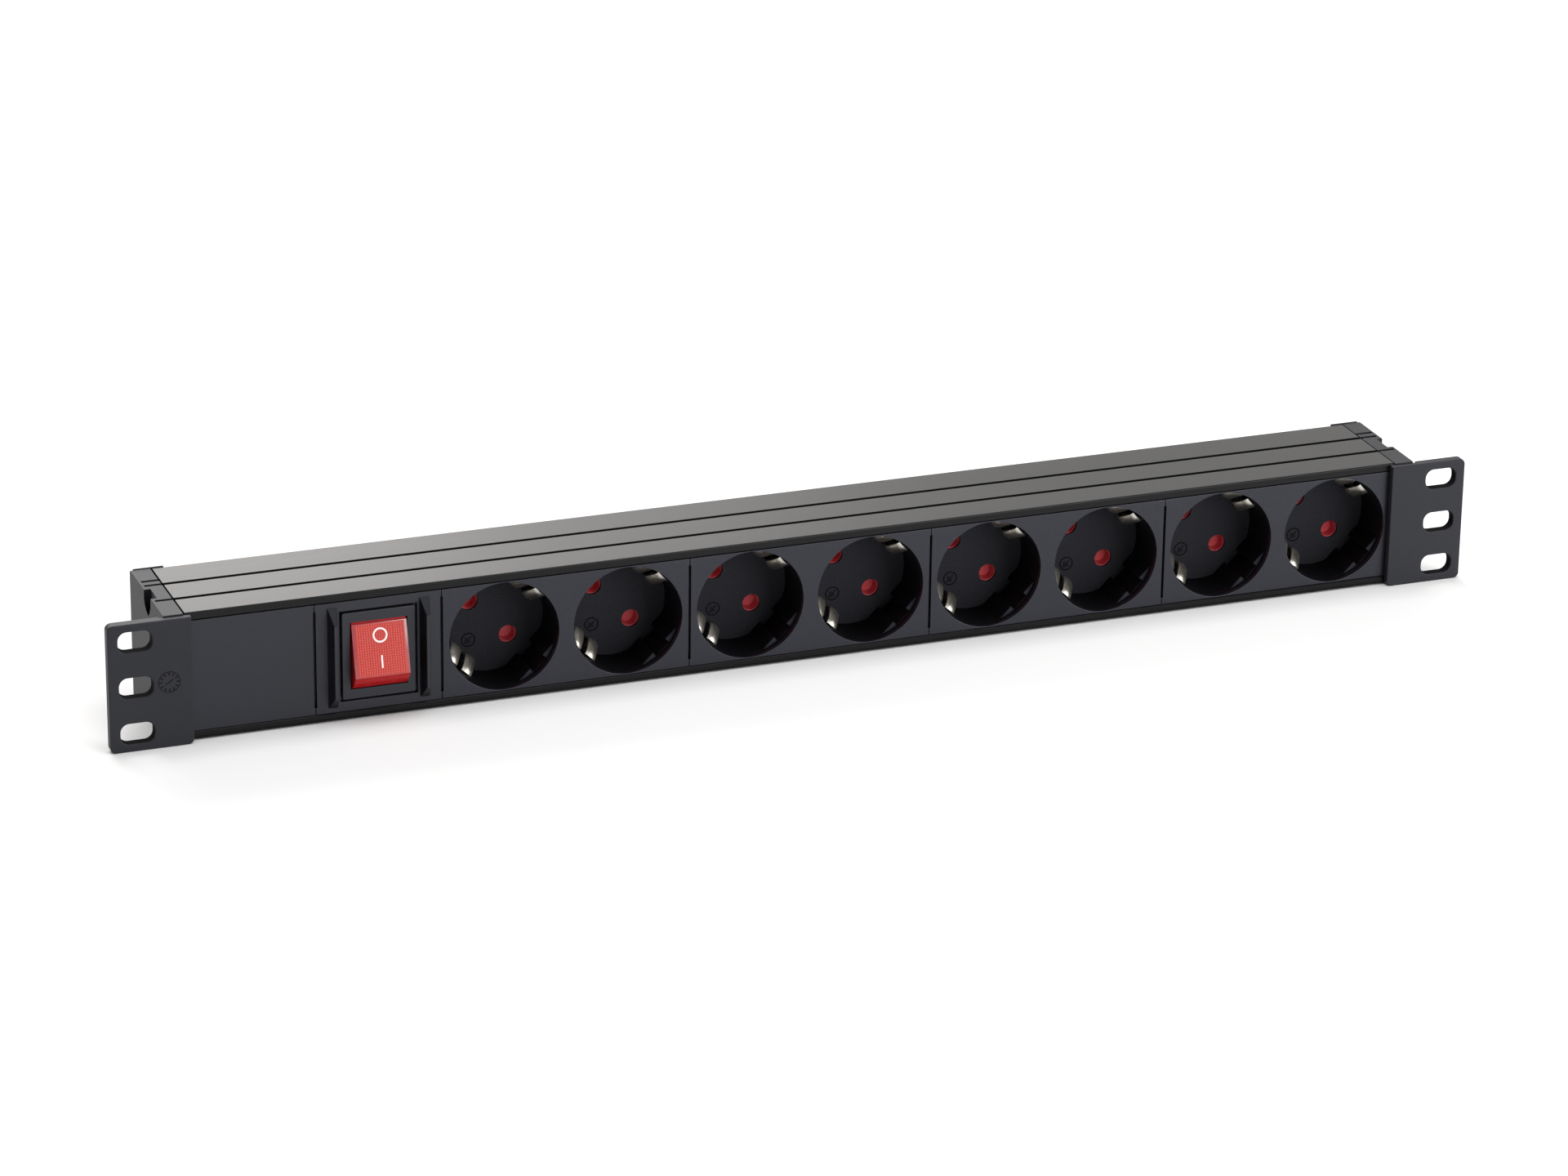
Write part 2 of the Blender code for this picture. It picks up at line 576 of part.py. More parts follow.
# Shutters, each turning on the boss behind its socket floor
for number, x in enumerate(SOCKETS):
    root = math.sqrt(SHUTTER_HUB**2 - SHUTTER_ARM**2)
    begin = math.atan2(SHUTTER_ARM, root)
    half_ring = []
    for k in range(9):
        angle = -math.pi / 2 + math.pi * k / 8
        half_ring.append((PIN_OFFSET + SHUTTER_ARM * math.cos(angle), SHUTTER_ARM * math.sin(angle)))
    for k in range(5):
        angle = begin + (math.pi - 2 * begin) * k / 4
        half_ring.append((SHUTTER_HUB * math.cos(angle), SHUTTER_HUB * math.sin(angle)))
    bar = half_ring + [(-u, -v) for u, v in half_ring]
    shutter = along_y(f"shutter_{number + 1}", turned(bar, x), SHUTTER_FRONT, SHUTTER_FRONT + SHUTTER_THICK)
    origin(shutter, x, SHUTTER_FRONT, MIDDLE)
    bore = circle(x, MIDDLE, BOSS_RADIUS + SEAT, 16)
    cut(shutter, along_y(f"shutter_bore_{number}", bore, SHUTTER_FRONT - 1, SHUTTER_FRONT + 5))
    for end in (-1, 1):
        rim = turned(circle(end * PIN_OFFSET, 0, DISH_RADIUS, 16), x)
        floor = turned(circle(end * PIN_OFFSET, 0, DISH_FLOOR, 16), x)
        first = [(a, SHUTTER_FRONT - 0.01, b) for a, b in rim]
        second = [(a, SHUTTER_FRONT + DISH_DEPTH, b) for a, b in floor]
        cut(shutter, loft(f"shutter_dish_{number}_{end + 1}", first, second))
    finish(shutter, "red_shutter_plastic", (0.7, 0.03, 0.04), 0, 0.35)


# Earth clips, a strip behind each socket floor with two sprung fingers at each end
def finger_outline():
    line = [(CLIP_REACH, CLIP_FRONT + CLIP_THICK / 2), (CLIP_REACH, CLIP_NOSE_DEPTH + 5)]
    line += [(CLIP_NOSE + 0.1, CLIP_NOSE_DEPTH + 0.8), (CLIP_NOSE + 0.1, CLIP_NOSE_DEPTH - 0.8)]
    line += [(CLIP_REACH - 0.1, CLIP_TOP)]
    left = []
    right = []
    for k, (v, y) in enumerate(line):
        before = line[max(k - 1, 0)]
        after = line[min(k + 1, len(line) - 1)]
        run = math.hypot(after[0] - before[0], after[1] - before[1])
        normal = ((after[1] - before[1]) / run, -(after[0] - before[0]) / run)
        half = CLIP_THICK / 2
        left.append((v + normal[0] * half, y + normal[1] * half))
        right.append((v - normal[0] * half, y - normal[1] * half))
    return left + right[::-1]


for number, x in enumerate(SOCKETS):
    name = f"earth_clip_{number + 1}"
    reach = CLIP_REACH + CLIP_THICK / 2
    strip = turned(rectangle(-FINGER_OUTER, FINGER_OUTER, -reach, reach), x)
    clip = along_y(name, strip, CLIP_FRONT, CLIP_FRONT + CLIP_THICK)
    for end in (-1, 1):
        for side in (-1, 1):
            near = side * FINGER_INNER
            far = side * (FINGER_OUTER - 0.05)
            outline = finger_outline()
            ends = []
            for u in (near, far):
                flat = turned([(u, end * v) for v, y in outline], x)
                ends.append([(a, outline[k][1], b) for k, (a, b) in enumerate(flat)])
            add(clip, loft(f"{name}_finger_{end + 1}_{side + 1}", ends[0], ends[1]))
    finish(clip, "nickel_plated_steel", (0.8, 0.79, 0.76), 1, 0.25)

# Live and neutral bars with a sleeve for every pin, and the earth bar behind the clips
for name, row in (("live_busbar", 1), ("neutral_busbar", -1)):
    height = MIDDLE + row * PIN_STEP
    pins = [x - row * PIN_STEP for x in SOCKETS]
    left = SOCKETS[0] - PIN_STEP - BAR_OVERHANG
    right = SOCKETS[-1] + PIN_STEP + BAR_OVERHANG - 3
    outline = rectangle(left, right, height - BAR_HALF_HEIGHT, height + BAR_HALF_HEIGHT)
    bar = along_y(name, outline, BAR_FRONT, BAR_FRONT + BAR_THICK)
    for k, x in enumerate(pins):
        tube = circle(x, height, SLEEVE_RADIUS, 12)
        add(bar, along_y(f"{name}_sleeve_{k}", tube, BAR_FRONT + 0.5, SLEEVE_BACK))
    for k, x in enumerate(pins):
        bore = circle(x, height, PIN_RADIUS + SEAT, 12)
        cut(bar, along_y(f"{name}_bore_{k}", bore, BAR_FRONT - 1, SLEEVE_BACK + 1))
    finish(bar, "brass", (0.75, 0.55, 0.2), 1, 0.35)

left = SOCKETS[0] - PIN_STEP - BAR_OVERHANG
right = SOCKETS[-1] + PIN_STEP + 3
outline = rectangle(left, right, MIDDLE - EARTH_BAR_HALF, MIDDLE + EARTH_BAR_HALF)
earth_front = CLIP_FRONT + CLIP_THICK + FIT
earth_busbar = along_y("earth_busbar", outline, earth_front, earth_front + EARTH_BAR_THICK)
finish(earth_busbar, "brass", (0.75, 0.55, 0.2), 1, 0.35)

# Cable entry bush in the back wall, held by a nut inside
tube = circle(ENTRY_X, ENTRY_HEIGHT, ENTRY_RADIUS, 32)
cable_bush = along_y("cable_bush", tube, INSIDE_BACK - 4.5, TOTAL_DEPTH - 0.3)
flange = circle(ENTRY_X, ENTRY_HEIGHT, ENTRY_FLANGE, 32)
add(cable_bush, along_y("bush_flange", flange, PROFILE_BACK + FIT, TOTAL_DEPTH))
bore = circle(ENTRY_X, ENTRY_HEIGHT, ENTRY_BORE, 24)
cut(cable_bush, along_y("bush_bore", bore, INSIDE_BACK - 6, TOTAL_DEPTH + 1))
finish(cable_bush, "bush_plastic", BLACK, 0, 0.5)
hexagon = circle(ENTRY_X, ENTRY_HEIGHT, NUT_RADIUS, 6)
bush_nut = along_y("bush_nut", hexagon, INSIDE_BACK - FIT - 3, INSIDE_BACK - FIT)
ring = circle(ENTRY_X, ENTRY_HEIGHT, ENTRY_RADIUS + FIT, 32)
cut(bush_nut, along_y("nut_ring", ring, INSIDE_BACK - 6, INSIDE_BACK + 1))
finish(bush_nut, "nut_plastic", BLACK, 0, 0.5)

# Earth screw through the bottom wall of the channel
head = circle(SCREW_X, SCREW_DEPTH, SCREW_HEAD, 20)
earth_screw = along_z("earth_screw", head, INSIDE_BOTTOM + FIT, INSIDE_BOTTOM + FIT + 2.4)
shank = circle(SCREW_X, SCREW_DEPTH, SCREW_RADIUS, 16)
add(earth_screw, along_z("screw_shank", shank, PROFILE_BOTTOM + 0.2, INSIDE_BOTTOM + 1))
finish(earth_screw, "zinc_steel", (0.7, 0.7, 0.68), 1, 0.35)


# Internal leads, round rods that follow a line of points
def lead(name, points, colour):
    path = bpy.data.curves.new(name, "CURVE")
    path.dimensions = "3D"
    path.bevel_depth = LEAD_RADIUS / 1000
    path.bevel_resolution = 2
    path.use_fill_caps = True
    line = path.splines.new("POLY")
    line.points.add(len(points) - 1)
    for k, (x, y, z) in enumerate(points):
        line.points[k].co = (x / 1000, (y - DEPTH_MIDDLE) / 1000, z / 1000, 1)
    item = bpy.data.objects.new(name, path)
    bpy.context.scene.collection.objects.link(item)
    finish(item, name + "_insulation", colour, 0, 0.5)


(first_x, first_z), (second_x, second_z), (third_x, third_z), (fourth_x, fourth_z) = blades
back = BLADE_BACK + 0.5 + LEAD_RADIUS
bar_left = SOCKETS[0] - PIN_STEP - BAR_OVERHANG - 0.5
bar_mid = BAR_FRONT + BAR_THICK / 2
live_z = MIDDLE + PIN_STEP
neutral_z = MIDDLE - PIN_STEP
start_x = ENTRY_X + LEAD_START
start_y = INSIDE_BACK - LEAD_START_SPACE
feed_x = SWITCH_X - FEED_BEND
out_x = SWITCH_X + OUT_BEND
run_x = bar_left - OUT_RUN
live_path = [(start_x, start_y, LIVE_START), (feed_x, back, first_z), (first_x, back, first_z)]
lead("live_feed_lead", live_path, (0.25, 0.1, 0.04))
neutral_path = [(start_x, start_y, NEUTRAL_START), (feed_x, back, third_z), (third_x, back, third_z)]
lead("neutral_feed_lead", neutral_path, (0.04, 0.12, 0.5))
live_path = [(second_x, back, second_z), (out_x, back, live_z), (run_x, bar_mid, live_z)]
live_path.append((bar_left, bar_mid, live_z))
lead("live_out_lead", live_path, (0.25, 0.1, 0.04))
neutral_path = [(fourth_x, back, fourth_z), (out_x, back, neutral_z), (run_x, bar_mid, neutral_z)]
neutral_path.append((bar_left, bar_mid, neutral_z))
lead("neutral_out_lead", neutral_path, (0.04, 0.12, 0.5))
low = INSIDE_BOTTOM + 0.3 + LEAD_RADIUS
earth_mid = earth_front + EARTH_BAR_THICK / 2
earth_path = [(SCREW_X + SCREW_HEAD + EARTH_START, SCREW_DEPTH, low)]
earth_path += [(SCREW_X + EARTH_BEND, EARTH_RUN_DEPTH, low), (out_x, EARTH_RUN_DEPTH, low)]
earth_path += [(run_x - LEAD_RADIUS, earth_mid, MIDDLE - EARTH_RISE), (run_x, earth_mid, MIDDLE)]
earth_path.append((bar_left, earth_mid, MIDDLE))
lead("earth_lead", earth_path, (0.2, 0.5, 0.05))
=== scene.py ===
import math

import bmesh
import bpy
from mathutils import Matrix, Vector


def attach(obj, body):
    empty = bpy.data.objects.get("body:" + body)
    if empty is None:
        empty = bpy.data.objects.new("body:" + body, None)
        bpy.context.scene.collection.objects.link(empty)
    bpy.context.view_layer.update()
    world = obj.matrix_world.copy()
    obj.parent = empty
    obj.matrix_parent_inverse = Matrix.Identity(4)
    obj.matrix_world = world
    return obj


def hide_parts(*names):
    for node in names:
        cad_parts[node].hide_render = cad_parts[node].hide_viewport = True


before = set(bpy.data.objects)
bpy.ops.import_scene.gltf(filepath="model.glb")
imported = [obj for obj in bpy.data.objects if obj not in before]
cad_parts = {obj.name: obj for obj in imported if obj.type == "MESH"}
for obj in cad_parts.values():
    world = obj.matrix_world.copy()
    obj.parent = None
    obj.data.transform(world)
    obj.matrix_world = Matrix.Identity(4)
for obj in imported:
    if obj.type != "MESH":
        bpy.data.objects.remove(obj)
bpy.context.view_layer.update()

# Channel
# An aluminium extrusion with an open front, anodised black and cut to length.
# Two fine grooves run along its top and its underside, and its front lips hold the modules.
DEPTH_MIDDLE = 21.55
MIDDLE = 22.5
CHANNEL_HALF = 215.0
CHANNEL_LOW = 0.3
CHANNEL_HIGH = 44.7
CHANNEL_FRONT = 2.7
CHANNEL_BACK = 44.0
CHANNEL_WALL = 1.8
CHANNEL_ROUND = 0.5
LIP_DEEP = 1.6
LIP_HALF_OPENING = 19.45
LIP_EDGE = 0.25
LIP_LINE_RISE = 0.95
LIP_LINE = ((0.0, 0.14), (0.2, 0.06), (0.2, -0.06), (0.0, -0.14))
GROOVES = (15.6, 29.3)
GROOVE_SIDE = ((0.95, 0.0), (0.85, 0.1), (0.75, 1.55))
ENTRY_X = -193.5
ENTRY_HEIGHT = 14.0
ENTRY_HOLE = 8.2
DIE_LINE = 0.303
DIE_RUN = 250.0
BLOOM = 16.67


def place(x, depth, height):
    """Millimetres from the middle, from the ears' front and from their bottom edge, as a world point."""
    return Vector((x / 1000, (depth - DEPTH_MIDDLE) / 1000, height / 1000))


def worked_out(item, helpers=()):
    """The mesh that an object's modifiers give. The object and its helpers are removed."""
    bpy.context.scene.collection.objects.link(item)
    bpy.context.view_layer.update()
    mesh = bpy.data.meshes.new_from_object(item.evaluated_get(bpy.context.evaluated_depsgraph_get()))
    for used in (item, *helpers):
        bpy.data.objects.remove(used)
    return mesh


def cleaned(mesh):
    """The mesh with its doubles merged and its faces turned outwards."""
    shape = bmesh.new()
    shape.from_mesh(mesh)
    bmesh.ops.remove_doubles(shape, verts=shape.verts, dist=1e-7)
    bmesh.ops.recalc_face_normals(shape, faces=shape.faces)
    shape.to_mesh(mesh)
    shape.free()
    return mesh


def solid(points, faces):
    """A mesh from points in millimetres."""
    mesh = bpy.data.meshes.new("piece")
    mesh.from_pydata([place(*point) for point in points], [], faces)
    return cleaned(mesh)


def loft(rings, closed_ends=True):
    """A skin over rings of points, each with the same count."""
    count = len(rings[0])
    faces = []
    for row in range(len(rings) - 1):
        low, high = row * count, row * count + count
        for k in range(count):
            n = (k + 1) % count
            faces.append((low + k, low + n, high + n, high + k))
    if closed_ends:
        faces.append(tuple(range(count)))
        last = (len(rings) - 1) * count
        faces.append(tuple(range(last + count - 1, last - 1, -1)))
    return solid([point for ring in rings for point in ring], faces)


def corner(a, b, radius, first, steps):
    """Points round a corner whose centre is at (a, b), a quarter turn on from an angle."""
    points = []
    for k in range(steps + 1):
        angle = math.radians(first + 90 * k / steps)
        points.append((a + radius * math.cos(angle), b + radius * math.sin(angle)))
    return points


def joined(meshes):
    """Several meshes made one."""
    whole = bmesh.new()
    for mesh in meshes:
        whole.from_mesh(mesh)
        bpy.data.meshes.remove(mesh)
    made = bpy.data.meshes.new("piece")
    whole.to_mesh(made)
    whole.free()
    return made


def piece(name, mesh, material, body, nodes=()):
    """A finished object with the material it is given, that rides on a body and stands for its CAD nodes
    where any are given.
    Its small rounded edges are shaded by area, so that the flats beside them stay flat."""
    mesh.shade_smooth()
    mesh.set_sharp_from_angle(angle=math.radians(40))
    blank = bpy.data.objects.new("blank", mesh)
    step = blank.modifiers.new("blend", "WEIGHTED_NORMAL")
    step.mode = "FACE_AREA"
    step.weight = 100
    step.keep_sharp = True
    mesh = worked_out(blank)
    mesh.materials.clear()
    mesh.materials.append(material)
    item = bpy.data.objects.new(name, mesh)
    bpy.context.scene.collection.objects.link(item)
    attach(item, body)
    if nodes:
        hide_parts(*nodes)


def colour(code):
    """An sRGB hex value as linear red, green, blue and alpha."""
    parts = [int(code[k : k + 2], 16) / 255 for k in (1, 3, 5)]
    return tuple(p / 12.92 if p <= 0.04045 else ((p + 0.055) / 1.055) ** 2.4 for p in parts) + (1.0,)


def add(tree, kind, settings=None, **links):
    """A node with its settings. A link is a socket, or a plain value for the socket of that name.
    Sockets that share a name go by their place instead, as n0 and n1."""
    made = tree.nodes.new(kind)
    for name, value in (settings or {}).items():
        setattr(made, name, value)
    for name, value in links.items():
        numbered = name[0] == "n" and name[1:].isdigit()
        socket = made.inputs[int(name[1:]) if numbered else name.replace("_", " ")]
        if isinstance(value, bpy.types.NodeSocket):
            tree.links.new(value, socket)
        else:
            socket.default_value = value
    return made


def surface(name):
    """A new material, its node tree and its Principled shader."""
    material = bpy.data.materials.new(name)
    material.use_nodes = True
    return material, material.node_tree, material.node_tree.nodes["Principled BSDF"]


def channel_section():
    """The extrusion's outline as depths and heights, from its lower front corner round."""
    low, high, front, back = CHANNEL_LOW, CHANNEL_HIGH, CHANNEL_FRONT, CHANNEL_BACK
    edge, wall, lip = CHANNEL_ROUND, CHANNEL_WALL, CHANNEL_FRONT + LIP_DEEP
    points = corner(front + edge, low + edge, edge, 180, 4)
    for middle in GROOVES:
        points += [(middle - half, low + deep) for half, deep in GROOVE_SIDE]
        points += [(middle + half, low + deep) for half, deep in reversed(GROOVE_SIDE)]
    points += corner(back - edge, low + edge, edge, 270, 4)
    points += corner(back - edge, high - edge, edge, 0, 4)
    for middle in reversed(GROOVES):
        points += [(middle + half, high - deep) for half, deep in GROOVE_SIDE]
        points += [(middle - half, high - deep) for half, deep in reversed(GROOVE_SIDE)]
    points += corner(front + edge, high - edge, edge, 90, 4)
    top = MIDDLE + LIP_HALF_OPENING
    bottom = MIDDLE - LIP_HALF_OPENING
    points += [(front, top + LIP_EDGE), (front + LIP_EDGE, top), (lip, top), (lip, high - wall)]
    points += [(back - wall, high - wall), (back - wall, low + wall), (lip, low + wall)]
    points += [(lip, bottom), (front + LIP_EDGE, bottom), (front, bottom - LIP_EDGE)]
    return points + [(front + deep, low + LIP_LINE_RISE + rise) for deep, rise in LIP_LINE]


def drilled(mesh, cutters):
    """The mesh with other closed meshes cut out of it."""
    item = bpy.data.objects.new("blank", mesh)
    tools = []
    for cutter in cutters:
        tool = bpy.data.objects.new("cutter", cutter)
        bpy.context.scene.collection.objects.link(tool)
        tools.append(tool)
        step = item.modifiers.new("cut", "BOOLEAN")
        step.object = tool
        step.operation = "DIFFERENCE"
        step.solver = "EXACT"
    return worked_out(item, tools)


def ring_of(x, height, radius, count):
    """Points round a circle."""
    turn = 2 * math.pi / count
    return [(x + radius * math.cos(turn * k), height + radius * math.sin(turn * k)) for k in range(count)]


def rod_along_depth(x, height, radius, front, back, count=48):
    """A round rod that points to the back."""
    ring = ring_of(x, height, radius, count)
    return loft([[(a, front, b) for a, b in ring], [(a, back, b) for a, b in ring]])


# Black anodising over extruded aluminium: a dark satin skin, with faint die lines along its length
# that stretch the light. The lines are really about 0.05 mm apart, drawn here at 0.3 mm to show.
black_anodised, tree, shader = surface("black_anodised_aluminium")
where = add(tree, "ShaderNodeTexCoord").outputs["Object"]
stretch = (1000 / DIE_RUN, 1000 / DIE_LINE, 1000 / DIE_LINE)
lines = add(tree, "ShaderNodeMapping", Vector=where, Scale=stretch).outputs["Vector"]
die = add(tree, "ShaderNodeTexNoise", Vector=lines, Scale=1.0, Detail=3.0, Roughness=0.6)
cloud = add(tree, "ShaderNodeTexNoise", Vector=where, Scale=1000 / BLOOM, Detail=4.0)
tint = add(tree, "ShaderNodeMix", {"data_type": "RGBA"}, Factor=cloud.outputs["Fac"],
           A=colour("#08080a"), B=colour("#0e0e10"))
rough = add(tree, "ShaderNodeMapRange", Value=die.outputs["Fac"], To_Min=0.24, To_Max=0.34)
ridges = add(tree, "ShaderNodeBump", Height=die.outputs["Fac"], Strength=0.12, Distance=0.00004)
tree.links.new(tint.outputs["Result"], shader.inputs["Base Color"])
tree.links.new(rough.outputs["Result"], shader.inputs["Roughness"])
tree.links.new(ridges.outputs["Normal"], shader.inputs["Normal"])
shader.inputs["IOR"].default_value = 1.3

section = channel_section()
bar = loft([[(x, a, b) for a, b in section] for x in (-CHANNEL_HALF, CHANNEL_HALF)])
bar = drilled(bar, [rod_along_depth(ENTRY_X, ENTRY_HEIGHT, ENTRY_HOLE, CHANNEL_BACK - 4, CHANNEL_BACK + 2)])
piece("channel", bar, black_anodised, "strip", ["profile"])

# End caps
# Two mouldings in black ABS, one for each end, with a slotted rack ear on the front of each.
# They push into the channel and hold it with a sprung tab at the top, over a thumb scoop.
EAR_HIGH = 44.2
EAR_THICK = 2.6
EAR_INNER = 213.5
EAR_OUTER = 241.3
EAR_ROUND = 2.0
PAD_GAP = 1.2
PAD_THICK = 1.0
SLOT_X = 232.2
SLOT_PITCH = 15.875
SLOT_HALF = 5.7
SLOT_HALF_HIGH = 3.55
SLOT_ROUND = 3.0
SHADE_SLEEVE_THICK = 0.05
CAP_OUTER = 222.3
CAP_BACK = 45.0
CAP_GAP = 0.5
POCKET = (6.0, 39.8, 4.5, 40.5)
POCKET_WALL = 2.0
SLITS = (32.5, 28.7, 14.9)
SLIT_WIDE = 1.5
SLIT_DEEP = 5.0
SLIT_WALL = 0.9
SCOOP = ((18.0, 2.0), (26.5, 2.0), (26.5, -2.5), (25.8, -4.6),
         (23.9, -6.3), (21.3, -7.2), (19.7, -5.8), (18.0, -3.0))
SCOOP_ENDS = ((-2.2, 9.0), (1.0, -4.0))
BACK_LIP = (44.15, CAP_BACK, 0.6, CHANNEL_HIGH + 0.25)
BACK_LIP_INNER = 211.0
PLUG_ENDS = (209.0, 216.0)
PLUG_WALLS = ((9, 42, 2.3, 4.3), (9, 42, 40.7, 42.7), (40, 42, 2.3, 42.7))


def pressed(outlines, front, back, edge, steps=2):
    """A moulding between two depths from closed outlines, the first outside and the rest holes.
    Its edges are rounded by a small radius."""
    curve = bpy.data.curves.new("outline", "CURVE")
    curve.dimensions = "2D"
    curve.fill_mode = "BOTH"
    curve.extrude = (back - front) / 2 - edge
    curve.bevel_depth = edge
    curve.bevel_resolution = steps
    curve.offset = -edge
    for outline in outlines:
        line = curve.splines.new("POLY")
        line.points.add(len(outline) - 1)
        for k, (a, b) in enumerate(outline):
            line.points[k].co = (a, b, 0, 1)
        line.use_cyclic_u = True
    mesh = worked_out(bpy.data.objects.new("outline", curve))
    middle = (front + back) / 2
    for vertex in mesh.vertices:
        vertex.co = place(vertex.co.x, middle - vertex.co.z, vertex.co.y)
    return cleaned(mesh)


def rounded(a0, a1, b0, b1, radii, steps=10):
    """A rectangle with a radius at each corner, from the low corner round."""
    centres = ((a0, b0, 1, 1, 180), (a1, b0, -1, 1, 270), (a1, b1, -1, -1, 0), (a0, b1, 1, -1, 90))
    points = []
    for (a, b, sa, sb, first), radius in zip(centres, radii):
        if radius:
            points += corner(a + sa * radius, b + sb * radius, radius, first, steps)
        else:
            points.append((a, b))
    return points


def block(x0, x1, d0, d1, h0, h1):
    """A plain block between two places along the strip, two depths and two heights."""
    outline = [(d0, h0), (d1, h0), (d1, h1), (d0, h1)]
    return loft([[(x, a, b) for a, b in outline] for x in (x0, x1)])


def bevelled(mesh, width, segments=2, degrees=40):
    """The mesh with its sharp edges rounded."""
    item = bpy.data.objects.new("blank", mesh)
    step = item.modifiers.new("round", "BEVEL")
    step.width = width / 1000
    step.segments = segments
    step.limit_method = "ANGLE"
    step.angle_limit = math.radians(degrees)
    return worked_out(item)


def moulded_black(name, dark, light, grain, rough_low, rough_high, depth, gloss=1.53):
    """Black plastic from a spark-eroded mould: almost no colour of its own, and a fine even grain
    that breaks the room's reflection into specks, tinted cool blue as painted reflection. The grain is really
    about 0.06 mm, drawn coarser."""
    material, tree, shader = surface(name)
    where = add(tree, "ShaderNodeTexCoord").outputs["Object"]
    fine = add(tree, "ShaderNodeTexNoise", Vector=where, Scale=1000 / grain, Detail=2.0, Roughness=0.6)
    speck = add(tree, "ShaderNodeMapRange", Value=fine.outputs["Fac"], From_Min=0.38, From_Max=0.66)
    tint = add(tree, "ShaderNodeMix", {"data_type": "RGBA"}, Factor=speck.outputs["Result"],
               A=colour(dark), B=colour(light))
    rough = add(tree, "ShaderNodeMapRange", Value=fine.outputs["Fac"], To_Min=rough_low, To_Max=rough_high)
    grit = add(tree, "ShaderNodeBump", Height=fine.outputs["Fac"], Strength=0.5, Distance=depth / 1000)
    tree.links.new(tint.outputs["Result"], shader.inputs["Base Color"])
    tree.links.new(rough.outputs["Result"], shader.inputs["Roughness"])
    tree.links.new(grit.outputs["Normal"], shader.inputs["Normal"])
    shader.inputs["IOR"].default_value = gloss
    # A faint blue specular tint paints a cool cast into the room's reflection.
    shader.inputs["Specular Tint"].default_value = colour("#eff2ff")
    return material


# The caps are the dullest of the black plastics, an even dark grey with hardly any shine.
cap_abs = moulded_black("black_cap_abs", "#121214", "#1c1c1f", 0.3, 0.5, 0.62, 0.03, 1.46)
# Thin sleeves of dark, rough ABS line the ears' slots: painted shade that keeps the slot walls dark, though
# the lights behind shine through.
slot_shade_abs = moulded_black("painted_shade_slot_abs", "#060607", "#0e0e10", 0.3, 0.75, 0.85, 0.04, 1.12)


def ear_slot(height, more=0.0):
    """An ear slot's outline, larger or smaller by a margin."""
    wide = SLOT_HALF + more
    high = SLOT_HALF_HIGH + more
    return rounded(SLOT_X - wide, SLOT_X + wide, height - high, height + high, [SLOT_ROUND + more] * 4)


def end_cap(name, node, side):
    """A cap and the dark sleeves of painted shade in its slots, at the left end for side -1 and at the right
    for side 1.
    """
    def flipped(outline):
        return [(side * a, b) for a, b in outline]

    rows = [EAR_HIGH / 2 + row * SLOT_PITCH for row in (-1, 0, 1)]
    slots = [flipped(ear_slot(row)) for row in rows]
    ear = rounded(EAR_INNER, EAR_OUTER, 0, EAR_HIGH, (EAR_ROUND, EAR_ROUND, EAR_ROUND, 0))
    plate = pressed([flipped(ear)] + slots, 0, EAR_THICK, 0.4, 3)
    pad = rounded(CAP_OUTER + PAD_GAP, EAR_OUTER, 0, EAR_HIGH, (0, EAR_ROUND, EAR_ROUND, 0))
    backing = pressed([flipped(pad)] + slots, EAR_THICK - 0.5, EAR_THICK + PAD_THICK, 0.3)
    wall = rounded(EAR_THICK - 0.3, CAP_BACK - 0.05, CHANNEL_LOW, CHANNEL_HIGH, (0, 1, 1, 0), 6)
    body = loft([[(side * x, a, b) for a, b in wall] for x in (CHANNEL_HALF + CAP_GAP, CAP_OUTER)])
    start = side * (CHANNEL_HALF - 1)
    cutters = [block(start, side * (CAP_OUTER - POCKET_WALL), *POCKET)]
    for depth in SLITS:
        heights = (CHANNEL_HIGH - SLIT_DEEP, CHANNEL_HIGH + 1.3)
        cutters.append(block(start, side * (CAP_OUTER - SLIT_WALL), depth, depth + SLIT_WIDE, *heights))
    hollow = []
    for reach, drop in SCOOP_ENDS:
        x = side * (CAP_OUTER + reach)
        hollow.append([(x, a, CHANNEL_HIGH + (b if b > 0 else b - drop)) for a, b in SCOOP])
    cutters.append(loft(hollow))
    body = drilled(bevelled(body, 0.25), cutters)
    lip = bevelled(block(side * BACK_LIP_INNER, side * (CAP_OUTER - 1), *BACK_LIP), 0.3)
    plugs = [block(side * PLUG_ENDS[0], side * PLUG_ENDS[1], *wall) for wall in PLUG_WALLS]
    piece(name, joined([plate, backing, body, lip] + plugs), cap_abs, "strip", [node])
    # Each slot gets a thin dark sleeve, painted shade on its walls.
    shade_sleeves = []
    for row in rows:
        shade_sleeve = [flipped(ear_slot(row, more)) for more in (2 * SHADE_SLEEVE_THICK, -SHADE_SLEEVE_THICK)]
        shade_sleeves.append(pressed(shade_sleeve, 0.4, EAR_THICK + 0.7, 0.01, 0))
    piece(name + "_slots", joined(shade_sleeves), slot_shade_abs, "strip")


end_cap("end_cap_left", "left_end_cap", -1)
end_cap("end_cap_right", "right_end_cap", 1)

# Mould clock
# A small dial that the mould leaves on the left ear: a raised ring, twelve hour strokes and a hand.
# It is part of the ABS moulding and stands about a tenth of a millimetre proud.
CLOCK_X = -221.3
CLOCK_HEIGHT = 22.65
CLOCK_RADIUS = 3.7
CLOCK_LINE = 0.25
CLOCK_RISE = 0.1
CLOCK_FOOT = 0.02
STROKES = 12
STROKE_INSET = 0.9
STROKE_HALF = (0.5, 0.25)
HAND = ((-1.5, -0.75), (-1.3, -0.95), (0.9, 0.35), (1.3, 1.0), (0.6, 0.75))

# The dial takes a near-black, smoother copy of the cap's ABS, painted shade so that it shows as darker,
# sharper strokes on the dull ear.
dial_shade_abs = moulded_black("painted_shade_dial_abs", "#050506", "#0a0a0b", 0.3, 0.25, 0.35, 0.01, 1.3)


